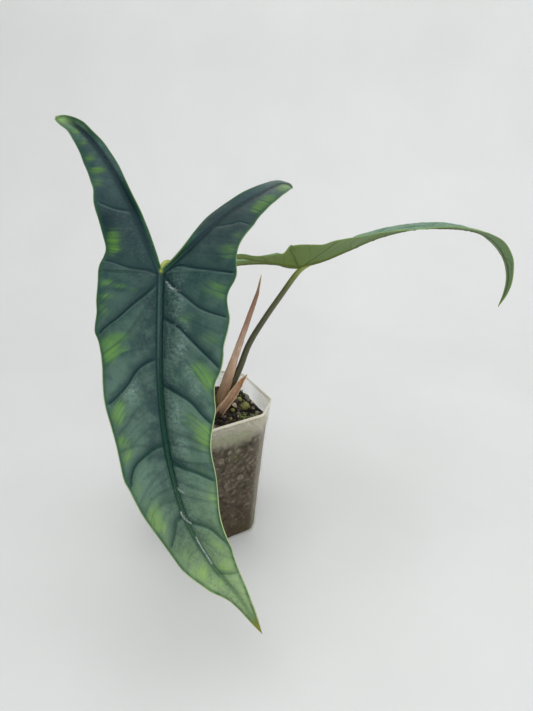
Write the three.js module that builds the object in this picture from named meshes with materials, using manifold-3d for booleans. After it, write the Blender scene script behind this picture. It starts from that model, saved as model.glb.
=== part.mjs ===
// A potted alocasia with two long arrow-shaped leaves, in a square translucent nursery pot.
// Millimetres, +Z up. The origin is the middle of the pot's underside, and the front leaf hangs towards -Y.
import * as THREE from "three";
import { mergeVertices } from "three/addons/utils/BufferGeometryUtils.js";
import Module from "manifold-3d";

const wasm = await Module();
wasm.setup();

const { degToRad, smoothstep, lerp, clamp } = THREE.MathUtils;
const vector = (point) => new THREE.Vector3(...point);
const upward = new THREE.Vector3(0, 0, 1);

// Pieces that touch keep this gap to each other.
const seatGap = 0.3;

// Pot: a tapered square with chamfered corners and a thin lip, turned on its axis.
const potHeight = 125;
const rimSide = 83.2;
const baseSide = 58;
const potWall = 1;
const potFloor = 1.2;
const rimChamfer = 16.5;
const baseChamfer = 9;
const creaseRounding = 2.4;
const lipOut = 0.4;
const lipDepth = 2.6;
const footBevel = 1.4;
const potTurn = degToRad(29.4);
const drainHole = { radius: 4, fromMiddle: 19 };
const roundSides = 20;

// Soil: a filling that rises a little to the back, with chips of bark and stone lying in its top.
const soilLevel = 110.5;
const soilRise = 2;
const chip = { count: 104, least: 1.7, most: 4.8, sink: 0.2, seed: 11 };
const chipShape = { longest: 1.5, flattest: 0.55, thickest: 0.9, tip: 0.6 };

// Stem base: the short rootstock that stands in the soil and carries the leaf stalks.
const stemBase = { x: 5, y: 4.2, radius: 5.2, bottom: 84, top: 116.5 };
const stemBaseShape = { footShare: 0.7, footRise: 3, domeRise: 4.2 };

// Stalks and sheaths: [x, y, z, radius] along the middle line, from the stem base up.
const frontStalkLine = [
  [4.2, 3.4, 110, 3.4],
  [1.4, 0.5, 124, 3.2],
  [-0.6, -6, 145, 2.8],
  [-0.8, -17, 175, 2.5],
  [-2.5, -30, 211, 2.3],
  [-7, -44, 240, 2.2],
  [-12.5, -53, 249.2, 2.2],
  [-17, -58.4, 248.2, 2.1],
  [-17.9, -61, 242.4, 1.4],
  [-18, -64.5, 237.6, 0.5],
];
const backStalkLine = [
  [7, 6.2, 110, 3.2],
  [13.5, 6.9, 126.7, 3],
  [22.5, 8.4, 147.5, 2.6],
  [31.1, 10.1, 167.9, 2.4],
  [43.4, 11.9, 188.6, 2.2],
  [56.2, 13.5, 207.5, 2.1],
  [65.4, 14.7, 220.8, 2.1],
  [70.6, 15.1, 226.3, 1.8],
  [76.5, 15.4, 229.2, 1],
];
const tallSheathLine = [
  [6, 4.2, 110, 4.6],
  [9.5, 4.7, 125, 4.5],
  [12.6, 5.2, 135.2, 4.2],
  [16.3, 5.7, 146.5, 3.6],
  [22.2, 6.5, 164.7, 2.6],
  [30.4, 7.5, 188.1, 2],
  [37.2, 8.3, 207.1, 1.6],
  [38.7, 8.6, 213.1, 0.95],
  [39.7, 8.8, 218, 0.7],
  [40.8, 9, 224, 0.3],
];
const shortSheathLine = [
  [5.4, -2, 109.5, 3],
  [9.6, -2, 115.8, 3.2],
  [13.8, -2, 122.4, 3.5],
  [18.6, -1.8, 130.2, 3.4],
  [23.2, -1.4, 137.9, 2.4],
  [26.1, -1.2, 142.4, 1.3],
  [29.5, -1, 146.8, 0.3],
];
const sheathGroove = { depth: 0.42, width: 0.45 };
const sheathFlatness = 0.8;
const stalkMesh = { steps: 26, sides: 12 };
const sheathMesh = { steps: 18, sides: 14 };

// Blade: its flat drawing, upper face up and tip down the page, as [across, along] from the stalk.
const bladeLength = 229;
const midribCourse = [[0, 0], [0, 35], [1, 70], [2.6, 105], [3.6, 140], [4, 165], [3.2, 190], [2, 210],
  [0, bladeLength]];
const sinus = [0.5, -2.5];
const leftLobeTip = [-77.5, -112];
const rightLobeTip = [80.6, -73.5];
const bladeHalves = {
  left: {
    lobeRib: [leftLobeTip, [-64, -106], [-53, -96.5], [-42, -81], [-32, -66], [-23, -51], [-15, -35],
      [-7, -18], [0, 0]],
    lobeInner: [leftLobeTip, [-76.4, -114], [-71.4, -114.8], [-64.9, -112.5], [-57.4, -107.6],
      [-50.6, -100.3], [-43.4, -92.7], [-38, -85], [-30, -72], [-20, -52], [-12, -36], [-5.2, -18], sinus],
    lobeOuter: [leftLobeTip, [-76.2, -109.5], [-72.3, -104.9], [-66.7, -100], [-61.8, -92.2], [-57, -83.7],
      [-52.8, -74.3], [-48.7, -66.3], [-45.5, -59.1], [-42.8, -52.6], [-41.4, -42.8], [-38.1, -32.3],
      [-36, -25], [-33.2, -15.5], [-33.6, -10], [-35.2, -4.5], [-35.6, 0]],
    margin: [[-35.6, 0], [-35.3, 8], [-36, 18], [-36, 24], [-37.2, 31.5], [-37.1, 36.3], [-34.8, 42],
      [-31.5, 56], [-30, 75.3], [-27.5, 89.2], [-26, 98], [-24.8, 107], [-23.6, 116], [-21.2, 122.5],
      [-18.2, 136.2], [-15.7, 146.1], [-13.9, 155.2], [-12.7, 162.9], [-11.6, 169.5], [-8, 180.5],
      [-6.5, 188], [-3.7, 198], [-2.3, 208], [-1.5, 217], [0, bladeLength]],
  },
  right: {
    lobeRib: [rightLobeTip, [74.5, -74], [66, -67.5], [55, -55.2], [43, -43.5], [32, -33.5], [21, -22.8],
      [11, -11], [0, 0]],
    lobeInner: [rightLobeTip, [79.8, -81], [76, -87.5], [71.3, -91], [66.5, -88], [62, -81.5], [54.2, -72.6],
      [46.4, -64.8], [38.9, -56.6], [31.6, -48.7], [24.7, -40.2], [18.5, -28.2], [12.6, -16.3], [6.8, -8.4],
      sinus],
    lobeOuter: [rightLobeTip, [77.9, -67.3], [73.1, -61.3], [69, -56.1], [65.1, -51.4], [62, -46.8],
      [59, -42.3], [56.6, -37.7], [54.8, -33.2], [52.2, -28.7], [50, -24.7], [47.9, -20.2], [46.1, -14.9],
      [45, -8], [45.3, 0]],
    margin: [[45.3, 0], [45, 3], [43.4, 6.6], [41.1, 10.3], [39.8, 14], [39.7, 18], [40.3, 22], [41.3, 28],
      [40.4, 35], [38.4, 44], [38.2, 50], [37.3, 56], [35.6, 61], [32.8, 67], [32.4, 75], [32.6, 84],
      [28.5, 105], [27.5, 126], [23.5, 150], [20.8, 167], [19, 175.9], [15.7, 184], [12.6, 191.4],
      [10, 199], [7.4, 207.4], [5, 215.3], [2.2, 223], [0, bladeLength]],
  },
};
const bladeThickness = 0.8;
const ribDepth = 1.1;
const ribWidth = 2.4;
const ribShareAtTip = { lobe: 0.35, blade: 0.2 };
const pillowHeight = 1.1;
const veinSlope = 0.72;
const veinStarts = {
  left: [-26, 4, 50, 75, 101, 125, 144, 170, 200, 225],
  right: [-26, 3, 28, 67, 93, 112, 130, 148, 172, 195, 225],
};
const lobeVeins = 4;
const lobeVeinFade = 4;
const riseStart = 4;
const bendMeasuredAt = 100;
const calmTipFrom = 0.75 * bladeLength;
const rows = { lobe: 13, body: 36 };
const columns = { outer: 7, inner: 4 };

// Each leaf: its midrib in space, the direction across it, and how the blade rolls and folds along it.
// Its lobes have a share of their drawn length, curl away from the viewer, and rise to a limit.
const frontLeaf = {
  size: 1,
  midrib: [[-18, -61, 246], [-18, -78, 219.5], [-18, -94, 193.5], [-16.5, -109, 166.5], [-12, -122, 142],
    [-4, -134, 118.5], [9, -143.5, 98], [26, -151, 80], [42, -156.5, 57]],
  across: [1, 0, 0],
  roll: [[0, 0], [229, 0]],
  fold: [[-100, 0.12], [229, 0.12]],
  lobeShare: { left: 1, right: 1 },
  lobeBend: { left: 20, right: 86 },
  lobeRise: { left: { slope: 0, limit: 1 }, right: { slope: 0, limit: 1 } },
  wave: { height: 2.4, period: 58, left: 0.6, right: 2.9 },
};
const backLeaf = {
  size: 0.87,
  midrib: [[68.4, 15, 227.8], [86, 15.5, 232.6], [105.5, 16, 240.9], [123.3, 17, 248.4], [141, 17.5, 253.2],
    [155.1, 18, 255.3], [169.4, 18, 255.5], [183.4, 18, 254.9], [196.4, 17, 252.8], [207.4, 16, 248],
    [215.6, 14, 240.2], [221.3, 12, 230], [223.3, 10, 219.2], [221.9, 9, 209.5], [217.6, 8, 199]],
  across: [0, 1, 0],
  roll: [[-100, -8], [-60, -12], [-18, -15], [-3, -25.5], [30, -22], [62, -13], [110, -7.5], [150, -8],
    [229, -4]],
  fold: [[-100, 0.14], [-60, 0.22], [-16, 0.36], [-4, 0.33], [0, 0.3], [40, 0.2], [75, 0.12], [110, 0.07],
    [160, 0.1], [229, 0.2]],
  lobeShare: { left: 0.6, right: 0.95 },
  lobeBend: { left: 0, right: 0 },
  lobeRise: { left: { slope: 0.33, limit: 200 }, right: { slope: 0.5, limit: 13 } },
  wave: { height: 0.8, period: 62, left: 2, right: 1.2 },
};

// Colours of the pieces.
const finish = (color, roughness, extra = {}) =>
  new THREE.MeshStandardMaterial({ color, roughness, metalness: 0, ...extra });
const potPlastic = finish("#d9dcd8", 0.45, { transparent: true, opacity: 0.55 });
const soilMix = finish("#3a322b", 0.95);
const rootstock = finish("#6b5a3c", 0.8);
const stalkGreen = finish("#5f6b35", 0.5);
const frontBladeSkin = finish("#35524c", 0.35, { metalness: 0.25 });
const backBladeSkin = finish("#6f8f5a", 0.45, { metalness: 0.1 });
const sheathBrown = finish("#a5786c", 0.8);

// The same numbers in the same order each run.
function seededRandom(seed) {
  let state = seed;
  return () => {
    state = (state * 1664525 + 1013904223) % 4294967296;
    return state / 4294967296;
  };
}

// A smooth value between the stations of a table of [place, value].
function along(table, place) {
  const next = table.findIndex(([station]) => station >= place);
  if (next === 0) return table[0][1];
  if (next < 0) return table.at(-1)[1];
  const [from, low] = table[next - 1];
  const [to, high] = table[next];
  return lerp(low, high, smoothstep(place, from, to));
}

// A closed surface from corners, three to a triangle, without the triangles that have shrunk to a line.
function surface(corners) {
  const kept = [];
  for (let i = 0; i < corners.length; i += 3) {
    const [a, b, c] = corners.slice(i, i + 3);
    const tiny = 1e-3;
    if (a.distanceTo(b) > tiny && b.distanceTo(c) > tiny && c.distanceTo(a) > tiny) kept.push(a, b, c);
  }
  return mergeVertices(new THREE.BufferGeometry().setFromPoints(kept), 1e-3);
}

// A solid through rings of equally many points, capped at both ends. Seen from the far end, each ring
// runs counterclockwise.
function loft(rings) {
  const corners = [];
  const middle = (ring) => {
    const sum = ring.reduce((total, point) => total.add(point), new THREE.Vector3());
    return sum.divideScalar(ring.length);
  };
  const first = rings[0];
  const last = rings.at(-1);
  const firstMiddle = middle(first);
  const lastMiddle = middle(last);
  for (let i = 0; i < first.length; i++) {
    const j = (i + 1) % first.length;
    corners.push(firstMiddle, first[j], first[i], lastMiddle, last[i], last[j]);
    for (let k = 1; k < rings.length; k++) {
      const low = rings[k - 1];
      const high = rings[k];
      corners.push(low[i], low[j], high[j], low[i], high[j], high[i]);
    }
  }
  return surface(corners);
}

function toSolid(geometry) {
  const plain = geometry.clone();
  plain.deleteAttribute("normal");
  plain.deleteAttribute("uv");
  const merged = mergeVertices(plain, 1e-3);
  const mesh = new wasm.Mesh({
    numProp: 3,
    vertProperties: new Float32Array(merged.attributes.position.array),
    triVerts: new Uint32Array(merged.index.array),
  });
  return new wasm.Manifold(mesh);
}

// The largest body of a solid, as a geometry: crumbs that a cut leaves behind are dropped.
function toGeometry(solid) {
  const bodies = solid.decompose();
  const largest = bodies.reduce((best, body) => (body.volume() > best.volume() ? body : best));
  const mesh = largest.getMesh();
  const geometry = new THREE.BufferGeometry();
  geometry.setAttribute("position", new THREE.BufferAttribute(mesh.vertProperties, 3));
  geometry.setIndex(new THREE.BufferAttribute(mesh.triVerts, 1));
  return geometry;
}

// One level of the pot: a square with its corners cut off, and the creases there a little rounded.
function squareRing(side, z, chamfer) {
  const half = side / 2;
  const ring = [];
  for (let quarter = 0; quarter < 4; quarter++) {
    const point = (x, y) => new THREE.Vector3(x, y, z);
    const crease = half - chamfer;
    const creases = [point(half, crease), point(crease, half)];
    const faceEnds = [point(half, crease - creaseRounding), point(crease - creaseRounding, half)];
    creases.forEach((corner, i) => {
      const alongChamfer = creases[1 - i].clone().sub(corner).setLength(creaseRounding).add(corner);
      const rounded = new THREE.QuadraticBezierCurve3(faceEnds[i], corner, alongChamfer).getPoints(2);
      if (i === 1) rounded.reverse();
      rounded.forEach((place) => place.applyAxisAngle(upward, (quarter * Math.PI) / 2));
      ring.push(...rounded);
    });
  }
  return ring;
}

const sideAt = (z) => lerp(baseSide, rimSide, z / potHeight);
const chamferAt = (z) => lerp(baseChamfer, rimChamfer, z / potHeight);
const chamferGrowth = 2 - Math.SQRT2;
const outerRing = (z, grow = 0) => squareRing(sideAt(z) + 2 * grow, z, chamferAt(z) + chamferGrowth * grow);

function makePot() {
  const innerRing = (z) => outerRing(z, -potWall);
  const shell = toSolid(
    loft([
      squareRing(baseSide - 2 * footBevel, 0, baseChamfer - chamferGrowth * footBevel),
      outerRing(footBevel),
      outerRing(potHeight - lipDepth),
      outerRing(potHeight - lipDepth, lipOut),
      outerRing(potHeight, lipOut),
      innerRing(potHeight),
      innerRing(potFloor),
    ]),
  );
  const { radius } = drainHole;
  const hole = new THREE.CylinderGeometry(radius, radius, 4 * potFloor, roundSides).rotateX(Math.PI / 2);
  const holes = [1, 3, 5, 7].map((eighth) => {
    const angle = (eighth * Math.PI) / 4;
    const x = drainHole.fromMiddle * Math.cos(angle);
    const y = drainHole.fromMiddle * Math.sin(angle);
    return toSolid(hole.clone().translate(x, y, 0));
  });
  return toGeometry(holes.reduce((pot, cut) => pot.subtract(cut), shell));
}

// The space that the soil may fill, up to a height.
function potInside(top) {
  const grow = -potWall - seatGap;
  return toSolid(loft([outerRing(potFloor + seatGap, grow), outerRing(top, grow)]));
}

// Chips of bark, pumice and grit, each a squashed lump at its own angle, sunk into the soil's top.
function makeChips() {
  const random = seededRandom(chip.seed);
  const between = (low, high) => low + (high - low) * random();
  const reach = sideAt(soilLevel) / 2 - potWall;
  const { longest, flattest, thickest, tip } = chipShape;
  const chips = [];
  for (let i = 0; i < chip.count; i++) {
    const size = between(chip.least, chip.most);
    const x = between(-reach, reach);
    const y = between(-reach, reach);
    const z = soilLevel + soilTilt(y) - size * chip.sink;
    const lump = new THREE.IcosahedronGeometry(1, 0);
    lump.scale(size * between(1, longest), size, size * between(flattest, thickest));
    lump.rotateX(between(-tip, tip)).rotateZ(between(0, 2 * Math.PI)).translate(x, y, z);
    chips.push(toSolid(lump));
  }
  return chips;
}

// The soil's top stands higher towards the back of the pot.
const soilTilt = (y) => (soilRise * y) / rimSide;

function makeSoil(standing) {
  const filling = potInside(potHeight).trimByPlane([0, soilRise / rimSide, -1], -soilLevel);
  const heaped = makeChips().reduce((soil, lump) => soil.add(lump), filling).intersect(potInside(potHeight));
  const turned = toSolid(toGeometry(heaped).rotateZ(potTurn));
  return toGeometry(standing.reduce((soil, cut) => soil.subtract(cut), turned));
}

// The rootstock, blunt at its foot and domed on top, a little larger all round where a gap is given.
function makeStemBase(gap = 0) {
  const { x, y, radius, bottom, top } = stemBase;
  const { footShare, footRise, domeRise } = stemBaseShape;
  const point = (r, z) => new THREE.Vector2(r, z);
  const profile = [point(0, bottom - gap), point(radius * footShare + gap, bottom - gap)];
  profile.push(point(radius + gap, bottom + footRise));
  const domeSteps = 4;
  for (let step = 0; step < domeSteps; step++) {
    const angle = ((step / domeSteps) * Math.PI) / 2;
    const z = top - domeRise + (domeRise + gap) * Math.sin(angle);
    profile.push(point((radius + gap) * Math.cos(angle), z));
  }
  profile.push(point(0, top + gap));
  return new THREE.LatheGeometry(profile, roundSides).rotateX(Math.PI / 2).translate(x, y, 0);
}

// A tapering stalk along a line of [x, y, z, radius]; outline gives the section's shape at an angle.
function sweep(line, { steps, sides, gap = 0, outline = () => 1, flatness = 1 }) {
  const places = line.map(([x, y, z]) => new THREE.Vector3(x, y, z));
  const middle = new THREE.CatmullRomCurve3(places, false, "catmullrom");
  const radii = new THREE.SplineCurve(line.map(([, , , radius], i) => new THREE.Vector2(i, radius)));
  const rings = [];
  const front = new THREE.Vector3(0, -1, 0);
  for (let step = 0; step <= steps; step++) {
    const place = middle.getPoint(step / steps);
    const tangent = middle.getTangent(step / steps);
    const radius = radii.getPoint(step / steps).y + gap;
    const facing = front.clone().addScaledVector(tangent, -front.dot(tangent)).normalize();
    const side = new THREE.Vector3().crossVectors(facing, tangent).normalize();
    const ring = [];
    for (let i = 0; i < sides; i++) {
      const angle = (i / sides) * 2 * Math.PI;
      const r = radius * outline(angle, step / steps);
      const point = place.clone().addScaledVector(facing, r * flatness * Math.cos(angle));
      ring.push(point.addScaledVector(side, -r * Math.sin(angle)));
    }
    rings.push(ring);
  }
  return loft(rings);
}

const makeStalk = (line, gap = 0) => toSolid(sweep(line, { ...stalkMesh, gap }));

// A sheath is a rolled scale: its section has a groove down the front where its edges meet.
function makeSheath(line, gap = 0) {
  const groove = (angle) => {
    const fromFront = Math.min(angle, 2 * Math.PI - angle);
    return 1 - sheathGroove.depth * Math.exp(-((fromFront / sheathGroove.width) ** 2));
  };
  const outline = gap ? () => 1 : groove;
  return toSolid(sweep(line, { ...sheathMesh, gap, outline, flatness: sheathFlatness }));
}

const flatCurve = (points) => new THREE.SplineCurve(points.map(([x, y]) => new THREE.Vector2(x, y)));

// How high the blade stands between two veins, 0 to 1. The inner side of a lobe is too narrow for veins.
function cushion(strip, reach, place) {
  if (strip.inner) return 0;
  if (strip.lobe) return Math.sin(Math.PI * lobeVeins * reach) ** 2 * (1 - reach ** lobeVeinFade);
  const starts = veinStarts[strip.half];
  const next = starts.findIndex((start) => start > place);
  if (next <= 0) return 0;
  const from = starts[next - 1];
  const to = starts[next];
  return Math.sin((Math.PI * (place - from)) / (to - from)) ** 2;
}

// The blade's middle surface: a function from the flat drawing to space.
function bladePlacer(leaf) {
  const midrib = new THREE.CatmullRomCurve3(leaf.midrib.map(vector), false, "catmullrom");
  midrib.arcLengthDivisions = 600;
  const acrossLeaf = vector(leaf.across);
  return ({ x, y, fromRib, share, half, raised }) => {
    const reach = clamp(y / bladeLength, 0, 1);
    const tangent = midrib.getTangentAt(reach);
    const back = Math.max(0, -y);
    const place = midrib.getPointAt(reach).addScaledVector(tangent, -leaf.size * leaf.lobeShare[half] * back);
    const level = acrossLeaf.clone().addScaledVector(tangent, -acrossLeaf.dot(tangent)).normalize();
    const roll = degToRad(along(leaf.roll, y));
    const across = level.applyAxisAngle(tangent, roll);
    const up = new THREE.Vector3().crossVectors(tangent, across);
    const { height, period } = leaf.wave;
    const tipTaper = 1 - smoothstep(y, calmTipFrom, bladeLength);
    const wave = height * share ** 2 * tipTaper * Math.sin((2 * Math.PI * y) / period + leaf.wave[half]);
    const bend = leaf.lobeBend[half] * (back / bendMeasuredAt) ** 2;
    const { slope, limit } = leaf.lobeRise[half];
    const rise = limit * Math.tanh((slope / limit) * (Math.hypot(back, riseStart) - riseStart));
    const lift = along(leaf.fold, y) * fromRib - bend + rise + wave + pillowHeight * raised;
    return place.addScaledVector(across, leaf.size * x).addScaledVector(up, leaf.size * lift);
  };
}

// Six strips cover the blade, three to a half: outside the lobe's rib, inside it, and along the midrib.
function bladeStrips() {
  const strips = [];
  for (const half of ["left", "right"]) {
    const drawing = bladeHalves[half];
    const lobeRib = flatCurve(drawing.lobeRib);
    const lobe = { rib: lobeRib, rows: rows.lobe, lobe: true };
    const body = { rib: flatCurve(midribCourse), rows: rows.body };
    const parts = [
      { ...lobe, edge: flatCurve(drawing.lobeOuter), columns: columns.outer },
      { ...lobe, edge: flatCurve(drawing.lobeInner), columns: columns.inner, inner: true },
      { ...body, edge: flatCurve(drawing.margin), columns: columns.outer },
    ];
    parts.forEach((part) => strips.push({ half, ...part }));
  }
  return strips;
}

// A thin closed sheet on the blade's surface, its lower face thicker under the ribs.
function makeBlade(leaf, gap = 0) {
  const placeOn = bladePlacer(leaf);
  const points = new Map();
  const faces = [];
  const pointAt = (strip, row, column) => {
    const reach = row / strip.rows;
    const share = column / strip.columns;
    const rib = strip.rib.getPointAt(reach);
    const flat = rib.clone().lerp(strip.edge.getPointAt(reach), share);
    const key = flat.x.toFixed(2) + " " + flat.y.toFixed(2);
    if (!points.has(key)) {
      const fromRib = flat.distanceTo(rib);
      const raised = cushion(strip, reach, flat.y - veinSlope * fromRib) * Math.sin(Math.PI * share);
      const place = placeOn({ x: flat.x, y: flat.y, fromRib, share, half: strip.half, raised });
      const { lobe, blade } = ribShareAtTip;
      const ribShare = strip.lobe ? lerp(lobe, 1, reach) : lerp(1, blade, reach);
      const rim = gap ? 1 : Math.exp(-((fromRib / ribWidth) ** 2));
      points.set(key, { place, under: ribDepth * ribShare * rim, normal: new THREE.Vector3() });
    }
    return points.get(key);
  };
  for (const strip of bladeStrips()) {
    const leftward = (strip.half === "left") !== Boolean(strip.inner);
    for (let row = 0; row < strip.rows; row++) {
      for (let column = 0; column < strip.columns; column++) {
        const a = pointAt(strip, row, column);
        const b = pointAt(strip, row, column + 1);
        const c = pointAt(strip, row + 1, column + 1);
        const d = pointAt(strip, row + 1, column);
        faces.push(...(leftward ? [[a, b, c], [a, c, d]] : [[a, c, b], [a, d, c]]));
      }
    }
  }
  const whole = faces.filter(([a, b, c]) => a !== b && b !== c && c !== a);
  return thicken(whole, gap);
}

// Gives a sheet of faces its thickness, with walls along its open edges.
function thicken(faces, gap) {
  const edges = new Map();
  for (const face of faces) {
    const [a, b, c] = face.map((corner) => corner.place);
    const areaNormal = new THREE.Vector3().crossVectors(b.clone().sub(a), c.clone().sub(a));
    face.forEach((corner) => corner.normal.add(areaNormal));
  }
  const half = bladeThickness / 2 + gap;
  const above = (corner) => {
    const up = half / corner.normal.length();
    return corner.place.clone().addScaledVector(corner.normal, up);
  };
  const below = (corner) => {
    const down = (half + corner.under) / corner.normal.length();
    return corner.place.clone().addScaledVector(corner.normal, -down);
  };
  const number = new Map();
  faces.flat().forEach((corner) => number.has(corner) || number.set(corner, number.size));
  for (const face of faces) {
    face.forEach((from, i) => {
      const to = face[(i + 1) % 3];
      const back = number.get(to) + "-" + number.get(from);
      if (!edges.delete(back)) edges.set(number.get(from) + "-" + number.get(to), [from, to]);
    });
  }
  const corners = [];
  for (const [a, b, c] of faces) corners.push(above(a), above(b), above(c), below(a), below(c), below(b));
  for (const [from, to] of edges.values()) {
    corners.push(above(from), below(from), below(to), above(from), below(to), above(to));
  }
  return surface(corners);
}

// Each piece is cut clear of those that it grows against.
const cutClear = (solid, others) => others.reduce((rest, other) => rest.subtract(other), solid);

// The room that a blade needs: its thickened sheet, nudged each way so that its edges are cleared too.
function bladeSpace(leaf) {
  const sheet = makeBlade(leaf, seatGap);
  const nudges = [[0, 0, 0], [1, 0, 0], [-1, 0, 0], [0, 1, 0], [0, -1, 0], [0, 0, 1], [0, 0, -1]];
  return nudges.map((nudge) => toSolid(sheet.clone().translate(...nudge.map((step) => step * seatGap))));
}

const stemSpace = toSolid(makeStemBase(seatGap));
const frontStalk = cutClear(makeStalk(frontStalkLine), [stemSpace, ...bladeSpace(frontLeaf)]);
const backStalk = cutClear(makeStalk(backStalkLine), [
  stemSpace,
  ...bladeSpace(backLeaf),
  makeStalk(frontStalkLine, seatGap),
]);
const stalkSpaces = [makeStalk(frontStalkLine, seatGap), makeStalk(backStalkLine, seatGap)];
const tallSheath = cutClear(makeSheath(tallSheathLine), [stemSpace, ...stalkSpaces]);
const tallSheathSpace = makeSheath(tallSheathLine, seatGap);
const shortSheath = cutClear(makeSheath(shortSheathLine), [stemSpace, ...stalkSpaces, tallSheathSpace]);
const shortSheathSpace = makeSheath(shortSheathLine, seatGap);
const standing = [stemSpace, ...stalkSpaces, tallSheathSpace, shortSheathSpace];

const plant = new THREE.Group();
function addPiece(name, geometry, material) {
  const mesh = new THREE.Mesh(geometry, material);
  mesh.name = name;
  plant.add(mesh);
  return mesh;
}

addPiece("pot", makePot(), potPlastic).rotation.z = potTurn;
addPiece("soil", makeSoil(standing), soilMix);
addPiece("stem_base", makeStemBase(), rootstock);
addPiece("petiole_front", toGeometry(frontStalk), stalkGreen);
addPiece("blade_front", makeBlade(frontLeaf), frontBladeSkin);
addPiece("petiole_back", toGeometry(backStalk), stalkGreen);
addPiece("blade_back", makeBlade(backLeaf), backBladeSkin);
addPiece("sheath_tall", toGeometry(tallSheath), sheathBrown);
addPiece("sheath_short", toGeometry(shortSheath), sheathBrown);

export default plant;
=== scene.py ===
"""A potted alocasia: two long arrow-shaped leaves on arched stalks, dry papery sheaths, chunky
potting mix and a tapered square nursery pot. Sizes are in millimetres until a mesh is made."""
import math

import bpy
import numpy as np
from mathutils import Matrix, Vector, noise


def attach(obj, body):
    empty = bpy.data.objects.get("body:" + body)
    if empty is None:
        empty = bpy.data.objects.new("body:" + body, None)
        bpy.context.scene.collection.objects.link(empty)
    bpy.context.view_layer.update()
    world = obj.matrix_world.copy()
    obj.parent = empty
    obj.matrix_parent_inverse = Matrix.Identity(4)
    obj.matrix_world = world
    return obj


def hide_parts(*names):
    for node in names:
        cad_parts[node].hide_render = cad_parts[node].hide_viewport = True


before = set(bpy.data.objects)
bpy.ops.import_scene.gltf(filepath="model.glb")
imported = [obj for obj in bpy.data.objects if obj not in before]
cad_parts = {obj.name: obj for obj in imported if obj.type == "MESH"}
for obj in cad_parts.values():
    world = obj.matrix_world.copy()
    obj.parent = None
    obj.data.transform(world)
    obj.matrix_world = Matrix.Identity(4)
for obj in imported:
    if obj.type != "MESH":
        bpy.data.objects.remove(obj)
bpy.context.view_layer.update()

MM = 0.001
UP = np.array([0.0, 0.0, 1.0])


# Small helpers.

def linear(hex_code):
    """An sRGB hex colour as linear red, green, blue and alpha."""
    parts = [int(hex_code[i:i + 2], 16) / 255 for i in (1, 3, 5)]
    return tuple(c / 12.92 if c <= 0.04045 else ((c + 0.055) / 1.055) ** 2.4 for c in parts) + (1.0,)


def node(kind, *values, tree=None, output=0, stops=(), **named):
    """Adds a node and gives one of its outputs. The values are its inputs in order, a name that starts
    with a capital is an input, and any other is a setting. Stops are a ramp's places and colours.
    Sockets are linked, and where no tree is given, it is theirs."""
    inputs = dict(enumerate(values))
    inputs.update({key.replace("_", " "): value for key, value in named.items() if key[0].isupper()})
    linked = [key for key, value in inputs.items() if isinstance(value, bpy.types.NodeSocket)]
    tree = tree or inputs[linked[0]].id_data
    made = tree.nodes.new(kind)
    for key, value in named.items():
        if key[0].islower():
            setattr(made, key, value)
    for key, value in inputs.items():
        if key in linked:
            tree.links.new(value, made.inputs[key])
        else:
            made.inputs[key].default_value = value
    for number, (place, colour) in enumerate(stops):
        elements = made.color_ramp.elements
        element = elements[number] if number < 2 else elements.new(place)
        element.position = place
        element.color = linear(colour)
    return made.outputs[output] if made.outputs else None


def new_material(name):
    material = bpy.data.materials.new(name)
    material.use_nodes = True
    material.node_tree.nodes.clear()
    return material, material.node_tree


def product(*factors):
    """The product of numbers, sockets and stretches. A stretch (value, start, end) is 0 up to its start
    and 1 from its end, or has its own two results after them. A stretch ("near", value, inner, outer)
    is 1 under inner and falls smoothly to 0 at outer."""
    whole = None
    for factor in factors:
        if isinstance(factor, tuple):
            course = "LINEAR"
            if factor[0] == "near":
                factor, course = (*factor[1:], 1.0, 0.0), "SMOOTHSTEP"
            value, start, end, first, last = (*factor, 0.0, 1.0)[:5]
            factor = node("ShaderNodeMapRange", Value=value, From_Min=start, From_Max=end, To_Min=first,
                          To_Max=last, interpolation_type=course)
        whole = factor if whole is None else node("ShaderNodeMath", whole, factor, operation="MULTIPLY")
    return whole


def paint(colour, *layers):
    """Lays colours over each other: a layer is the colour that it brings and the factors of its mask."""
    for tint, *factors in layers:
        tint = linear(tint) if isinstance(tint, str) else tint
        colour = node("ShaderNodeMixRGB", product(*factors), colour, tint)
    return colour


def mesh_object(name, points, faces, material, values=None, smooth=True):
    """A mesh piece from points in millimetres, with its point attributes and its finish."""
    mesh = bpy.data.meshes.new(name)
    mesh.from_pydata((np.asarray(points) * MM).tolist(), [], faces)
    for key, array in (values or {}).items():
        array = np.asarray(array, np.float32)
        kind, field = ("FLOAT", "value") if array.ndim == 1 else ("FLOAT_VECTOR", "vector")
        mesh.attributes.new(key, kind, "POINT").data.foreach_set(field, array.ravel())
    mesh.polygons.foreach_set("use_smooth", [smooth] * len(mesh.polygons))
    mesh.materials.append(material)
    mesh.update()
    made = bpy.data.objects.new(name, mesh)
    bpy.context.scene.collection.objects.link(made)
    return made


def spline(points, run_on=False, per_span=60):
    """A Catmull-Rom curve through points and its running length. Its ends are held or run on straight."""
    p = np.array(points, float)
    before, after = (2 * p[0] - p[1], 2 * p[-1] - p[-2]) if run_on else (p[0], p[-1])
    q = np.vstack([before, p, after])
    place = np.linspace(0, len(p) - 1, (len(p) - 1) * per_span + 1)
    span = np.minimum(place.astype(int), len(p) - 2)
    w = (place - span)[:, None]
    a, b, c, d = q[span], q[span + 1], q[span + 2], q[span + 3]
    line = 0.5 * (2 * b + (c - a) * w + (2 * a - 5 * b + 4 * c - d) * w ** 2
                  + (3 * b - a - 3 * c + d) * w ** 3)
    length = np.concatenate([[0], np.cumsum(np.linalg.norm(np.diff(line, axis=0), axis=1))])
    return line, length


def at(curve, share):
    """Places on a curve at shares of its length."""
    line, length = curve
    return np.stack([np.interp(share * length[-1], length, column) for column in line.T], -1)


def unit(v):
    return v / np.linalg.norm(v, axis=-1, keepdims=True)


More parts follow.
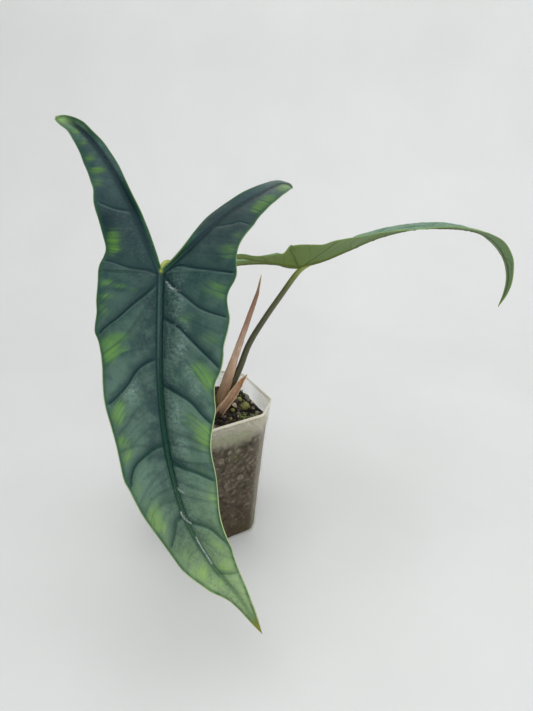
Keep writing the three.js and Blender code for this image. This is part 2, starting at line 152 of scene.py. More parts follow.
def smoothstep(value, low, high):
    w = np.clip((value - low) / (high - low), 0, 1)
    return w * w * (3 - 2 * w)


def along(table, place):
    """Smooth values between the stations of a table of (place, value)."""
    stations, values = np.array(table, float).T
    i = np.clip(np.searchsorted(stations, place), 1, len(stations) - 1)
    return values[i - 1] + (values[i] - values[i - 1]) * smoothstep(place, stations[i - 1], stations[i])


def gauss(value, width):
    return np.exp(-(value / width) ** 2)


def distance_to(lines, points, widths=(1.0, 1.0)):
    """Least distance from points to lines, counted in the line's width, which tapers to its end,
    and the side on which each point lies: 1 towards the leaf's tip, -1 towards its stalk."""
    least, side = np.full(len(points), 1e3), np.zeros(len(points))
    for line in lines:
        steps = len(line) - 1
        for i in range(steps):
            start, run = line[i], line[i + 1] - line[i]
            t = np.clip((points - start) @ run / (run @ run), 0, 1)
            width = widths[0] + (widths[1] - widths[0]) * (i + t) / steps
            offset = points - start
            gap = np.linalg.norm(offset - t[:, None] * run, axis=1)
            turned = (run[0] * offset[:, 1] - run[1] * offset[:, 0]) * np.sign(run[0])
            turned = turned / (np.linalg.norm(run) * np.maximum(gap, 1e-6))
            nearer = gap / width < least
            least = np.where(nearer, gap / width, least)
            side = np.where(nearer, np.clip(turned, -1, 1), side)
    return least, side


def grain(points, scale, seed=0.0):
    """Smooth noise of about -1 to 1 at points in millimetres, with features of the given scale."""
    shift = Vector((seed, -seed, 2 * seed))
    return np.array([noise.noise(Vector(p) / scale + shift) for p in points])


# Camera, light and floor.

CAMERA_PLACE = (44.5, -367.2, 340.0)
CAMERA_PITCH = math.radians(25.8)
FOCAL_PX = 534.0
FRAME_HEIGHT_PX = 711.0
SENSOR = 36.0
FLOOR_REACH, SWEEP_START, SWEEP_RADIUS, WALL_TOP = 3000.0, 330.0, 420.0, 1600.0

SKY_TONE, SKY_STRENGTH = "#e3e6e8", 0.42

# Soft lamps: name, place and aim in metres, width and power.
LAMPS = (
    ("overhead", (0.1, -0.1, 1.6), (0, 0.1, 0.1), 1.3, 11.0),
    ("front", (0.2, -1.7, 0.75), (0, 0, 0.15), 1.3, 13.0),
    ("right fill", (1.5, -0.3, 0.9), (0, 0, 0.2), 0.9, 4.0),
)


def make_studio():
    camera = bpy.data.objects.new("camera", bpy.data.cameras.new("camera"))
    camera.data.sensor_width = SENSOR
    camera.data.lens = FOCAL_PX / FRAME_HEIGHT_PX * SENSOR
    camera.data.clip_start = 0.01
    camera.location = Vector(CAMERA_PLACE) * MM
    camera.rotation_euler = (math.pi / 2 - CAMERA_PITCH, 0, 0)
    bpy.context.scene.collection.objects.link(camera)
    bpy.context.scene.camera = camera
    bpy.context.scene.view_settings.view_transform = "Standard"

    world = bpy.data.worlds.new("studio")
    world.use_nodes = True
    bpy.context.scene.world = world
    background = world.node_tree.nodes["Background"]
    background.inputs["Color"].default_value = linear(SKY_TONE)
    background.inputs["Strength"].default_value = SKY_STRENGTH

    for name, place, aim, size, power in LAMPS:
        lamp = bpy.data.objects.new(name, bpy.data.lights.new(name, "AREA"))
        lamp.data.size = size
        lamp.data.energy = power
        lamp.location = place
        lamp.rotation_euler = (Vector(place) - Vector(aim)).to_track_quat("Z", "Y").to_euler()
        bpy.context.scene.collection.objects.link(lamp)

    # Matt white paper: faint clouding keeps the large plain surface from looking flat.
    paper, tree = new_material("matt white paper")
    place = node("ShaderNodeTexCoord", tree=tree, output="Object")
    clouds = node("ShaderNodeTexNoise", Vector=place, Scale=7.0, Detail=4.0)
    tone = node("ShaderNodeValToRGB", clouds, stops=[(0.3, "#e2e2e1"), (0.7, "#e6e7e6")])
    shader = node("ShaderNodeBsdfPrincipled", Base_Color=tone, Roughness=0.8)
    node("ShaderNodeOutputMaterial", Surface=shader)
    turn = np.linspace(0, math.pi / 2, 25)
    profile = [(-FLOOR_REACH, 0.0)]
    profile += [(SWEEP_START + SWEEP_RADIUS * math.sin(t), SWEEP_RADIUS * (1 - math.cos(t))) for t in turn]
    profile += [(SWEEP_START + SWEEP_RADIUS, WALL_TOP)]
    points = [(x, y, z) for y, z in profile for x in (-FLOOR_REACH, FLOOR_REACH)]
    strips = [(2 * i, 2 * i + 1, 2 * i + 3, 2 * i + 2) for i in range(len(profile) - 1)]
    mesh_object("floor", points, strips, paper)


# Leaf drawing, flat, upper face up and tip down: (across, along) from the stalk.

BLADE_LENGTH = 229.0
LOBE_REACH = 112.0
SINUS = (0.5, -2.5)
LEFT_TIP = (-77.5, -112)
RIGHT_TIP = (80.6, -73.5)
MIDRIB = [(0, 0), (0, 35), (1, 70), (2.6, 105), (3.6, 140), (4, 165), (3.2, 190), (2, 210), (0, BLADE_LENGTH)]
HALVES = {
    "left": {
        "lobe_rib": [LEFT_TIP, (-69, -110.5), (-62, -105.2), (-54.8, -98), (-45, -85.5), (-34.5, -70),
                     (-24.5, -51.5), (-16.3, -36), (-8.2, -18.5), (0, 0)],
        "lobe_inner": [LEFT_TIP, (-76.4, -114), (-71.4, -114.8), (-64.9, -112.5), (-57.4, -107.6),
                       (-50.6, -100.3), (-43.4, -92.7), (-38, -85), (-30, -72), (-20, -52), (-12, -36),
                       (-5.2, -18), SINUS],
        "lobe_outer": [LEFT_TIP, (-76.2, -109.5), (-72.3, -104.9), (-66.7, -100), (-61.8, -92.2),
                       (-57, -83.7), (-52.8, -74.3), (-48.7, -66.3), (-45.5, -59.1), (-42.8, -52.6),
                       (-41.4, -42.8), (-38.1, -32.3), (-36, -25), (-33.2, -15.5), (-33.6, -10),
                       (-35.2, -4.5), (-35.6, 0)],
        "margin": [(-35.6, 0), (-35.3, 8), (-36, 18), (-36, 24), (-37.2, 31.5), (-37.1, 36.3), (-34.8, 42),
                   (-31.5, 56), (-30, 75.3), (-27.5, 89.2), (-26, 98), (-24.8, 107), (-23.6, 116),
                   (-21.2, 122.5), (-18.2, 136.2), (-15.7, 146.1), (-13.9, 155.2), (-12.7, 162.9),
                   (-11.6, 169.5), (-8, 180.5), (-6.5, 188), (-3.7, 198), (-2.3, 208), (-1.5, 217),
                   (0, BLADE_LENGTH)],
    },
    "right": {
        "lobe_rib": [RIGHT_TIP, (77.8, -79.6), (73.2, -82), (66, -74.4), (57.5, -64.2), (47.3, -53.2),
                     (37.8, -42.7), (29, -31.6), (20.2, -20.6), (11, -10.4), (0, 0)],
        "lobe_inner": [RIGHT_TIP, (79.8, -81), (76, -87.5), (71.3, -91), (66.5, -88), (62, -81.5),
                       (54.2, -72.6), (46.4, -64.8), (38.9, -56.6), (31.6, -48.7), (24.7, -40.2),
                       (18.5, -28.2), (12.6, -16.3), (6.8, -8.4), SINUS],
        "lobe_outer": [RIGHT_TIP, (77.9, -67.3), (73.1, -61.3), (69, -56.1), (65.1, -51.4), (62, -46.8),
                       (59, -42.3), (56.6, -37.7), (54.8, -33.2), (52.2, -28.7), (50, -24.7), (47.9, -20.2),
                       (46.1, -14.9), (45, -8), (45.3, 0)],
        "margin": [(45.3, 0), (45, 3), (43.4, 6.6), (41.1, 10.3), (39.8, 14), (39.7, 18), (40.3, 22),
                   (41.3, 28), (40.4, 35), (38.4, 44), (38.2, 50), (37.3, 56), (35.6, 61), (32.8, 67),
                   (32.4, 75), (32.6, 84), (28.5, 105), (27.5, 126), (23.5, 150), (20.8, 167),
                   (19, 175.9), (15.7, 184), (12.6, 191.4), (10, 199), (7.4, 207.4), (5, 215.3),
                   (2.2, 223), (0, BLADE_LENGTH)],
    },
}

# Main veins, from the midrib or a lobe's rib to the margin.
MAIN_VEINS = [
    [(-1, 0), (-8, -2), (-18, -3), (-29, -6.5), (-34, -7)],
    [(-1, 4), (-8, 12), (-16, 19), (-23, 26), (-31, 32.5), (-35, 37)],
    [(0, 50), (-7, 53), (-13, 58), (-17, 65), (-23, 72), (-28, 76)],
    [(2, 100), (-5, 102), (-10, 105), (-16, 109), (-19, 114), (-20, 119)],
    [(3, 143), (-2, 145), (-5, 150), (-10, 156)],
    [(-20, -40), (-29, -41), (-38, -44)],
    [(2, -1), (10, -5), (19, -3), (31, -1), (43, 1)],
    [(1, 0), (8, 8), (16, 15), (25, 22), (39, 27)],
    [(1, 26), (11, 32), (17, 38), (24, 45), (34, 55), (37, 60)],
    [(1, 65), (11, 71), (19, 77), (25, 85), (31, 92)],
    [(2.5, 110), (9, 115), (18, 121), (26, 128)],
    [(3.6, 147), (9, 151), (14, 156), (17, 163), (19, 172)],
    [(3, 183), (8, 188), (12, 191)],
    [(31, -32.5), (36.9, -33.1), (41.5, -34.2), (46.4, -35.8), (53.3, -32.6)],
]

# Fine veins between them.
FINE_VEINS = [
    [(-4, 8), (-15, 11), (-27, 11), (-35, 12)],
    [(-1, 12), (-5, 17), (-12, 27), (-20, 39), (-32, 49)],
    [(-1, 46), (-9, 45), (-16, 47), (-22, 49), (-31, 57)],
    [(-13, 58), (-17, 63), (-22, 68), (-27, 71)],
    [(1, 75), (-7, 76), (-14, 81), (-18, 87), (-24, 92)],
    [(-5, 102), (-9, 100), (-15, 99), (-23, 101)],
    [(2, 113), (-7, 118), (-12, 123), (-18, 130)],
    [(3, 126), (-6, 127), (-12, 130), (-17, 136)],
    [(3, 134), (-4, 133), (-12, 136), (-14, 142)],
    [(4, 164), (-3, 165), (-8, 170)],
    [(3, 184), (-1, 188), (-4, 193)],
    [(1, 17), (13, 26), (22, 31), (36, 37)],
    [(1, 45), (7, 47), (17, 53), (24, 63), (32, 73)],
    [(2, 92), (13, 96), (21, 101), (28, 106)],
    [(2.5, 100), (15, 104), (28, 110)],
    [(3, 107), (13, 113), (27, 116)],
    [(3, 121), (12, 127), (19, 132), (26, 138)],
    [(3.5, 130), (14, 136), (25, 143)],
    [(4, 157), (9, 165), (12, 175), (16, 184)],
    [(3, 192), (4, 199), (2.5, 208)],
    [(-40, -78), (-46, -78), (-53, -80)],
    [(-35, -70), (-42, -68), (-48, -69)],
    [(-28, -58), (-35, -56), (-43, -57)],
    [(-14, -30), (-25, -29), (-35, -29)],
    [(-8, -19), (-20, -16), (-32, -17)],
    [(-50, -92), (-55, -91), (-60, -92)],
    [(45, -50), (53, -48), (63, -43)],
    [(56, -62), (62, -58), (70, -54)],
    [(65, -73), (70, -68), (75, -64)],
    [(24, -25), (36, -22), (49, -20)],
    [(14, -14), (28, -11), (45, -10)],
]

# Places where the leaf's green shows through its dark skin: across, along, half width, half length, strength.
GREEN_PATCHES = [
    (-61, -101, 4, 3.5, 0.9), (-55, -90, 3, 3.5, 0.6), (-49, -78, 4, 3.5, 0.85), (-43, -68, 5.5, 3, 1.0),
    (-41, -58, 4, 4, 0.6), (-29, -21, 4.5, 5.5, 1.0), (-28, -14, 4, 4, 0.8), (-31, 7, 5, 2.5, 0.7),
    (-22, 9, 5, 1.8, 0.5), (-15, 11, 3, 1.5, 0.4), (-31, 15, 6, 1.8, 0.6), (-32, 23, 4, 5, 0.55),
    (-28, 43.5, 6, 5, 1.0), (-22, 38, 6, 3, 0.6), (-27, 50, 6, 4, 0.9), (-19, 46, 4, 2.5, 0.4),
    (-24, 63, 5, 6, 0.35), (-21, 77, 3.5, 4, 0.6), (-23, 83, 4, 5, 0.9), (-22, 96, 5, 4, 0.7),
    (-20, 104, 4.5, 5, 0.65), (-17, 121, 4, 6, 0.4), (-12, 138, 5, 7, 0.9), (-11, 145, 4, 4, 0.7),
    (-4, 164, 5, 5, 0.5), (-4, 176, 5, 5, 1.0), (-2, 187, 6, 4, 0.7), (65, -59, 6.5, 5, 0.8),
    (73, -70, 5, 6, 0.9), (77, -78, 5, 5, 1.1),
    (59, -51, 5, 4, 0.9), (55, -45, 4, 3.5, 0.7), (45, -25, 4, 5, 0.4), (41, -12, 6.5, 5, 0.65),
    (33, 10, 8, 4.5, 0.6), (36, 15, 4, 4, 0.4), (15, 28, 6, 3, 0.45), (30, 40, 7, 5, 0.35),
    (27, 61, 7, 6, 0.75), (30, 67, 5, 5, 0.7), (22, 56, 5, 3, 0.5), (18, 86, 6, 5, 0.55),
    (25, 95, 6, 6, 1.0), (27, 101, 4, 4, 0.5), (24, 106, 4, 4, 0.4), (23, 137, 4, 7, 0.7),
    (14, 168, 4, 7, 0.5), (9, 183, 5, 6, 0.8), (20, 121, 4, 5, 0.3),
]

# Creases beside the midrib whose stretched skin shines: they are raised a little and smoother, and a painted
# highlight lies along them.
GLOSSY_CREASES = [
    [(4.8, 157.5), (4.6, 161), (4.4, 166), (4.4, 170.6), (4.0, 176)],
    [(2.4, 140.5), (3.0, 144.5), (5.4, 148.9)],
    [(4.0, 5.5), (5.4, 8), (7.6, 9.8), (10.6, 10.2)],
    [(4.4, 126.6), (5.3, 128.2), (6.8, 129.2)],
]

# Places where the upper skin catches the light: a painted sheen and painted specks of highlight lie on them,
# and they are smoother and finely bumped.
SHEEN_SPOTS = [(9, 7), (12, 16), (10, 27), (15, 34), (14, 43), (12, 47), (18, 58), (22, 68), (10, 80), (9, 88),
              (12, 102), (6, 129), (-14, 67), (-16, 72), (7, 147)]

BLADE_THICKNESS, MARGIN_THICKNESS = 0.75, 0.45
CUSHION_HEIGHT = 1.4

# Widths of a main vein at its two ends, and how much farther off it counts at the margin, where it fades.
MAIN_VEIN_WIDTHS = (1.25, 0.7)
VEIN_FADE = 1.4

# A rib's least half width, and what is added to it up to the stalk.
RIB_HALF_WIDTH, RIB_GROWTH = 0.5, 1.7
RISE_START = 4.0
CALM_TIP_FROM = 0.75 * BLADE_LENGTH
LOBE_ROWS, BODY_ROWS = 160, 280
OUTER_COLUMNS, INNER_COLUMNS = 34, 10

FRONT_LEAF = {
    "size": 1.0,
    "midrib": [(-18, -61, 246), (-18, -78, 219.5), (-18, -94, 193.5), (-16.5, -109, 166.5), (-12, -122, 142),
               (-4, -134, 118.5), (9, -143.5, 98), (26, -151, 80), (42, -156.5, 57)],
    "across": (1, 0, 0),
    "roll": [(0, 0), (229, 0)],
    "fold": [(-100, 0.12), (229, 0.12)],
    "lobe_share": (1, 1),
    "lobe_bend": (20, 86),
    "lobe_slope": (0, 0),
    "lobe_limit": (1, 1),
    "wave": (2.4, 58, 0.6, 2.9),
}
BACK_LEAF = {
    "size": 0.87,
    "midrib": [(68.4, 15, 227.8), (86, 15.5, 232.6), (105.5, 16, 240.9), (123.3, 17, 248.4),
               (141, 17.5, 253.2), (155.1, 18, 255.3), (169.4, 18, 255.5), (183.4, 18, 254.9),
               (196.4, 17, 252.8), (207.4, 16, 248), (215.6, 14, 240.2), (221.3, 12, 230),
               (223.3, 10, 219.2), (221.9, 9, 209.5), (217.6, 8, 199)],
    "across": (0, 1, 0),
    "roll": [(-100, -8), (-60, -12), (-18, -15), (-3, -25.5), (30, -22), (62, -13), (110, -7.5), (150, -8),
             (229, -4)],
    "fold": [(-100, 0.14), (-60, 0.22), (-16, 0.36), (-4, 0.33), (0, 0.3), (40, 0.2), (75, 0.12), (110, 0.07),
             (160, 0.1), (229, 0.2)],
    "lobe_share": (0.6, 0.95),
    "lobe_bend": (0, 0),
    "lobe_slope": (0.33, 0.5),
    "lobe_limit": (200, 13),
    "wave": (0.8, 62, 2, 1.2),
}


def blade_strips():
    """The six strips that cover the blade: rib, edge, rows, columns, half and kind."""
    for half, drawing in HALVES.items():
        rib = spline(drawing["lobe_rib"])
        yield rib, spline(drawing["lobe_outer"]), LOBE_ROWS, OUTER_COLUMNS, half, "lobe"
        yield rib, spline(drawing["lobe_inner"]), LOBE_ROWS, INNER_COLUMNS, half, "inner"
        yield spline(MIDRIB), spline(drawing["margin"]), BODY_ROWS, OUTER_COLUMNS, half, "body"


def streak_phase(flat, reach, share, length):
    """Where on the rib the streak through each point starts, in mm: streaks run between the veins."""
    courses = []
    for vein in MAIN_VEINS + FINE_VEINS:
        line = at(spline(vein), np.linspace(0, 1, 24))
        gap = ((flat[None] - line[:, None]) ** 2).sum(-1)
        near = gap.argmin(1)[gap.min(1) < 4.0]
        if len(near) > 12 and np.ptp(share[near]) > 0.5:
            courses.append(np.polyfit(share[near], reach[near], 2))
    courses.sort(key=lambda course: course[-1])
    shift = np.array([0, 0, 1.0])
    courses = [courses[0] - 0.3 * shift, *courses, courses[-1] + 0.3 * shift]
    starts = np.array([course[-1] for course in courses])
    places = np.maximum.accumulate([np.polyval(course, share) for course in courses], axis=0)
    upper = np.clip((places <= reach).sum(0), 1, len(courses) - 1)
    columns = np.arange(len(reach))
    low, high = places[upper - 1, columns], places[upper, columns]
    part = (reach - low) / np.maximum(high - low, 1e-3)
    return length * (starts[upper - 1] + part * (starts[upper] - starts[upper - 1]))


def flat_blade():
    """The flat leaf as a grid: its points, what is known at each point, and its faces."""
    table, quads, count = [], [], 0
    for rib, edge, rows, columns, half, kind in blade_strips():
        reach, share = np.meshgrid(np.linspace(0, 1, rows + 1), np.linspace(0, 1, columns + 1), indexing="ij")
        reach, share = reach.ravel(), share.ravel()
        from_line, to_line = at(rib, reach), at(edge, reach)
        flat = from_line + (to_line - from_line) * share[:, None]
        from_rib = np.linalg.norm(flat - from_line, axis=1)
        phase = reach * rib[1][-1] if kind == "inner" else streak_phase(flat, reach, share, rib[1][-1])
        rib_share = 1 - 0.8 * reach if kind == "body" else 0.35 + 0.65 * reach
        right = np.full(len(flat), float(half == "right"))
        table.append(np.column_stack([flat, from_rib, share, right, phase, rib_share]))
        index = count + np.arange(len(flat)).reshape(rows + 1, columns + 1)
        count += len(flat)
        a, b, c, d = index[:-1, :-1], index[:-1, 1:], index[1:, 1:], index[1:, :-1]
        turned = (half == "left") != (kind == "inner")
        order = (a, b, c, d) if turned else (a, d, c, b)
        quads.append(np.stack(order, -1).reshape(-1, 4))
    table = np.vstack(table) + 0.0
    _, first, number = np.unique(np.round(table[:, :2], 4), axis=0, return_index=True, return_inverse=True)
    quads = number.reshape(-1)[np.vstack(quads)]
    return table[first], quads


def blade_surface(leaf, table, raised):
    """The blade's middle surface in space, from its flat drawing."""
    x, y, from_rib, share, right = table[:, :5].T
    midrib = spline(leaf["midrib"], run_on=True)
    reach = np.clip(y / BLADE_LENGTH, 0, 1)
    line, length = midrib
    slopes = (np.gradient(line, length, axis=0), length)
    tangent = unit(at(slopes, reach))
    by_half = lambda key: np.where(right > 0, leaf[key][1], leaf[key][0])
    back = np.maximum(0, -y)
    place = at(midrib, reach) - leaf["size"] * (by_half("lobe_share") * back)[:, None] * tangent
    across = np.array(leaf["across"], float)
    level = unit(across - tangent * (tangent @ across)[:, None])
    roll = np.radians(along(leaf["roll"], y))[:, None]
    level = level * np.cos(roll) + np.cross(tangent, level) * np.sin(roll)
    up = np.cross(tangent, level)
    height, period, left_phase, right_phase = leaf["wave"]
    phase = np.where(right > 0, right_phase, left_phase)
    calm = 1 - smoothstep(y, CALM_TIP_FROM, BLADE_LENGTH)
    wave = height * share ** 2 * calm * np.sin(2 * np.pi * y / period + phase)
    bend = by_half("lobe_bend") * (back / 100) ** 2
    rise = by_half("lobe_slope") * (np.hypot(back, RISE_START) - RISE_START)
    rise = by_half("lobe_limit") * np.tanh(rise / by_half("lobe_limit"))
    lift = along(leaf["fold"], y) * from_rib - bend + rise + wave + raised
    return place + leaf["size"] * (x[:, None] * level + lift[:, None] * up)


def surface_normals(points, quads):
    normals = np.zeros_like(points)
    p = points[quads]
    area = np.cross(p[:, 2] - p[:, 0], p[:, 3] - p[:, 1])
    for corner in range(4):
        np.add.at(normals, quads[:, corner], area)
    return unit(normals)


def make_blade(name, leaf, material):
    """One blade: an upper and a lower skin, swollen between the veins, with what its finish has to know."""
    table, quads = flat_blade()
    flat, from_rib, rib_share = table[:, :2], table[:, 2], table[:, 6]
    x, y = flat.T

    def near(lines, count, *widths):
        courses = [at(spline(line), np.linspace(0, 1, count)) for line in lines]
        return distance_to(courses, flat, *widths)

    vein, tipward = near(MAIN_VEINS, 12, MAIN_VEIN_WIDTHS)
    veinlet, _ = near(FINE_VEINS, 9)
    crease, _ = near(GLOSSY_CREASES, 9)
    outline = [half[key] for half in HALVES.values() for key in ("lobe_inner", "lobe_outer", "margin")]
    edge, _ = near(outline, 90)
    vein = vein + VEIN_FADE * gauss(edge, 1.5)
    rib_half_width = RIB_HALF_WIDTH + RIB_GROWTH * rib_share
    rib = from_rib / rib_half_width

    # The leaf swells between its veins: it falls gently to a vein and rises steeply on its far side.
    # It is flatter towards its tip and on its lobes.
    swell = (1 - gauss(vein, 4.0 - 2.0 * tipward)) * (1 - gauss(from_rib, 4.5)) * (1 - gauss(edge, 4.0))
    flat_3d = np.column_stack([flat, 0 * from_rib])
    ripple = grain(flat_3d, 11.0, 3.0)
    pucker = grain(flat_3d, 3.4, 6.0)
    flatter = 1 - 0.45 * smoothstep(y, 115, 170) - 0.45 * smoothstep(-y, 12, 36)
    raised = CUSHION_HEIGHT * flatter * swell * (0.85 + 0.35 * ripple) + 0.16 * swell * pucker
    raised += 0.3 * gauss(crease, 0.7) - 0.16 * gauss(veinlet, 1.2)
    middle = blade_surface(leaf, table, raised)
    up = surface_normals(middle, quads)

    thick = MARGIN_THICKNESS + (BLADE_THICKNESS - MARGIN_THICKNESS) * smoothstep(edge, 0, 6)
    groove = 0.3 * gauss(vein, 0.75) + 0.45 * gauss(rib, 0.9) - 0.28 * gauss(from_rib, 0.5 * rib_half_width)
    ridge = (0.35 * gauss(vein, 0.8) + (0.15 + 0.85 * rib_share) * gauss(rib, 0.95)
             + 0.06 * gauss(veinlet, 0.8))
    fade = smoothstep(edge, 0, 2.5) * (1 - 0.7 * smoothstep(y, 165, 205))
    above = middle + up * (thick / 2 - groove * fade)[:, None]
    below = middle - up * (thick / 2 + ridge * fade)[:, None]

    # The rim is closed where a side of the grid has one face only.
    count = len(flat)
    ordered = np.stack([quads, np.roll(quads, -1, axis=1)], -1).reshape(-1, 2)
    _, place, faces_there = np.unique(np.sort(ordered, axis=1), axis=0, return_index=True, return_counts=True)
    rim = ordered[place[faces_there == 1]].tolist()
    faces = clean_faces(quads.tolist())
    faces += [[count + i for i in reversed(face)] for face in faces]
    faces += [[b, a, a + count, b + count] for a, b in rim if a != b]

    facts = {
        "rib": rib,
        "vein": vein,
        "tipward": tipward,
        "veinlet": veinlet,
        "edge": edge,
        "green": np.clip(sum(strength * gauss((x - across) / wide, 1.0) * gauss((y - down) / long, 1.0)
                             for across, down, wide, long, strength in GREEN_PATCHES), 0, 1.2),
        "pale": np.clip(gauss(np.linalg.norm(flat - LEFT_TIP, axis=1), 9.0)
                        + 0.5 * gauss(np.linalg.norm(flat - RIGHT_TIP, axis=1), 6.0), 0, 1),
        "sheen_spots": np.clip(sum(gauss(x - across, 3.2) * gauss(y - down, 5.0)
                            for across, down in SHEEN_SPOTS), 0, 1),
        "notch": gauss(x, 0.8) * gauss(y + 1.6, 1.2),
        "glint": gauss(crease, 0.3),
        "grade": (y + LOBE_REACH) / (BLADE_LENGTH + LOBE_REACH),
        "leaf_mm": flat_3d,
        "flow_mm": np.column_stack([table[:, 5], from_rib, 50 * table[:, 4] + 20 * (y < 0)]),
    }
    values = {key: np.concatenate([array, array]) for key, array in facts.items()}
    values["side"] = np.repeat([1.0, 0.0], count)
    return mesh_object(name, np.vstack([above, below]), faces, material, values)


def clean_faces(faces):
    """Drops repeated corners: a face shrunk to a line goes, and one shrunk at a corner is a triangle."""
    kept = []
    for face in faces:
        corners = [corner for i, corner in enumerate(face) if corner != face[i - 1]]
        if len(corners) > 2:
            kept.append(corners)
    return kept


# Leaf skin.

# Attributes of a blade's points: numbers, and places for the patterns.
LEAF_FACTS = ("side", "rib", "vein", "tipward", "veinlet", "edge", "green", "pale", "sheen_spots", "glint", "notch",
              "grade")
LEAF_PLACES = ("leaf_mm", "flow_mm")


def leaf_skin(name, tones, green_tones, rib_tones, under, tint, metal):
    """Living leaf: a waxy satin skin, metallic where air lies under it, over green tissue.
    It is darkest along the veins, with painted shade on the stalk side of each main vein and a painted
    highlight on its tip side, and the green shows through in streaks towards the margin."""
    material, tree = new_material(name)
    side, rib, vein, tipward, veinlet, edge, green, pale, sheen_spots, glint, notch, grade = (
        node("ShaderNodeAttribute", tree=tree, output="Fac", attribute_name=fact) for fact in LEAF_FACTS)
    leaf_mm, flow_mm = (
        node("ShaderNodeAttribute", tree=tree, output="Vector", attribute_name=fact) for fact in LEAF_PLACES)

    # Clouding of about 9 mm, mottling of about 2 mm, grain under 1 mm, and streaks along the fine veins.
    clouds = node("ShaderNodeTexNoise", Vector=leaf_mm, Scale=0.11, Detail=3.0)
    mottle = node("ShaderNodeTexNoise", Vector=leaf_mm, Scale=0.5, Detail=5.0, Roughness=0.65)
    crinkle = node("ShaderNodeTexNoise", Vector=leaf_mm, Scale=0.42, Detail=4.0, Roughness=0.6)
    pebble = node("ShaderNodeTexNoise", Vector=leaf_mm, Scale=1.3, Detail=4.0)
    dots = node("ShaderNodeTexNoise", Vector=leaf_mm, Scale=0.6, Detail=3.0)
    broad, fine = (node("ShaderNodeMapping", Vector=flow_mm, Scale=scale)
                   for scale in ((0.3, 0.035, 1.0), (0.7, 0.06, 1.0)))
    bands = node("ShaderNodeTexNoise", Vector=broad, Scale=1.0, Detail=3.0)
    streaks = node("ShaderNodeTexNoise", Vector=fine, Scale=1.0, Detail=3.0)

    # Marks fade towards the tip, where the leaf is pale all over.
    bold = product((grade, 0.64, 0.92, 1.0, 0.25))
    open_skin = product(bold, (grade, 0.3, 0.5, 0.35, 1.0))
    ragged = node("ShaderNodeMath", bands, 2.6, green, operation="MULTIPLY_ADD")
    ragged = node("ShaderNodeMath", streaks, 2.4, ragged, operation="MULTIPLY_ADD")
    green_mask = product((ragged, 2.5, 4.1), (green, 0.05, 0.6))
    specks = product(sheen_spots, (dots, 0.6, 0.67))

    # Near the midrib the skin is mottled dark, with painted shade deepening it on the left, and it is more
    # puckered to its right.
    across = node("ShaderNodeSeparateXYZ", leaf_mm)
    rib_mottle_and_shade = product(("near", rib, 2.0, 10.0), (across, -1.0, 1.0, 1.0, 0.2))
    puckered = product(("near", rib, 3.0, 9.0), (across, 0.0, 2.0, 0.25, 1.0), bold, (grade, 0.3, 0.36))
    greens, rib_tone, upper, lower = (
        node("ShaderNodeValToRGB", grade, stops=stops)
        for stops in (green_tones, rib_tones, tones, under["tones"]))
    upper = paint(
        upper,
        (tint["cloud"], (clouds, 0.42, 0.62), open_skin, 0.55),
        (tint["mottle"], (mottle, 0.48, 0.66), open_skin, 0.35),
        (tint["halo"], (clouds, 0.5, 0.36), open_skin, 0.45),
        # Dark mottling near the midrib, with painted shade on its left.
        (tint["halo"], rib_mottle_and_shade, bold, (clouds, 0.6, 0.46, 0.25, 0.75)),
        (tint["dusk"], rib_mottle_and_shade, (mottle, 0.5, 0.6), 0.45),
        (tint["halo"], (bands, 0.5, 0.66), open_skin, 0.3),
        (tint["halo"], (streaks, 0.5, 0.66), 0.14),
        # Painted highlights on the crinkles right of the midrib, and a painted sheen around the glinting
        # spots.
        (tint["light"], puckered, (crinkle, 0.46, 0.66, 0.0, 0.22)),
        (tint["light"], sheen_spots, (crinkle, 0.4, 0.6, 0.1, 0.45)),
        (greens, green_mask),
        # Painted shade on the stalk side of each main vein.
        (tint["halo"], (tipward, 0.5, -0.5), ("near", vein, 0.5, 6.0), bold, 0.7),
        (tint["halo"], ("near", vein, 0.8, 3.0), bold, 0.4),
        # A painted highlight on the tip side of each main vein, on the shoulder of its groove.
        (tint["light"], (tipward, -0.2, 0.6), ("near", vein, 1.5, 2.8), (vein, 0.9, 1.3), 0.16),
        (tint["halo"], ("near", veinlet, 0.1, 1.6), bold, 0.36),
        (tint["line"], ("near", vein, 0.3, 1.15), bold, 0.95),
        (rib_tone, ("near", vein, 0.3, 1.0), (grade, 0.46, 0.66, 0.0, 0.5)),
        (tint["halo"], ("near", rib, 1.0, 2.8), bold, 0.6),
        (tint["line"], ("near", rib, 0.9, 1.4), bold, 0.95),
        (tint["line"], ("near", rib, 0.4, 2.2), (grade, 0.36, 0.28, 0.0, 0.8)),
        (rib_tone, ("near", rib, 0.45, 0.85), 0.9),
        (tint["pale"], pale),
        (tint["margin"], ("near", edge, 0.7, 2.8), (bands, 0.35, 0.62, 0.85, 0.5)),
        (tint["rim"], ("near", edge, 0.2, 0.62), (grade, 0.3, 0.55, 0.25, 0.9)),
        # Painted highlights: pale specks at the glinting spots, and thin lines along the glossy creases.
        (tint["speck"], specks, 0.3),
        (tint["glint"], glint, (mottle, 0.32, 0.5, 0.3, 0.7)),
        (tint["notch"], notch, 0.85),
        (tint["tip"], (grade, 0.96, 0.985)),
    )

    # The underside is paler and greener, and its veins stand out in olive.
    lower = paint(
        lower,
        (under["mottle"], (mottle, 0.45, 0.66), 0.4),
        (under["mottle"], (bands, 0.45, 0.62), 0.35),
        (under["green"], green, 0.25),
        (under["vein"], ("near", veinlet, 0.2, 1.1), 0.4),
        (under["vein"], ("near", vein, 0.5, 1.5), 0.85),
        (under["rib"], ("near", rib, 0.9, 1.5), 0.9),
        (under["green"], ("near", edge, 0.4, 2.4), 0.6),
    )

    # Satin wax: smoother at the glinting spots and along the glossy creases, rougher on the underside.
    wax = product((mottle, 0.35, 0.65, 0.34, 0.5))
    for spot, roughness in ((specks, 0.2), (glint, 0.12)):
        wax = node("ShaderNodeMix", Factor=spot, A=wax, B=roughness)
    wax = node("ShaderNodeMix", Factor=side, A=0.62, B=wax)
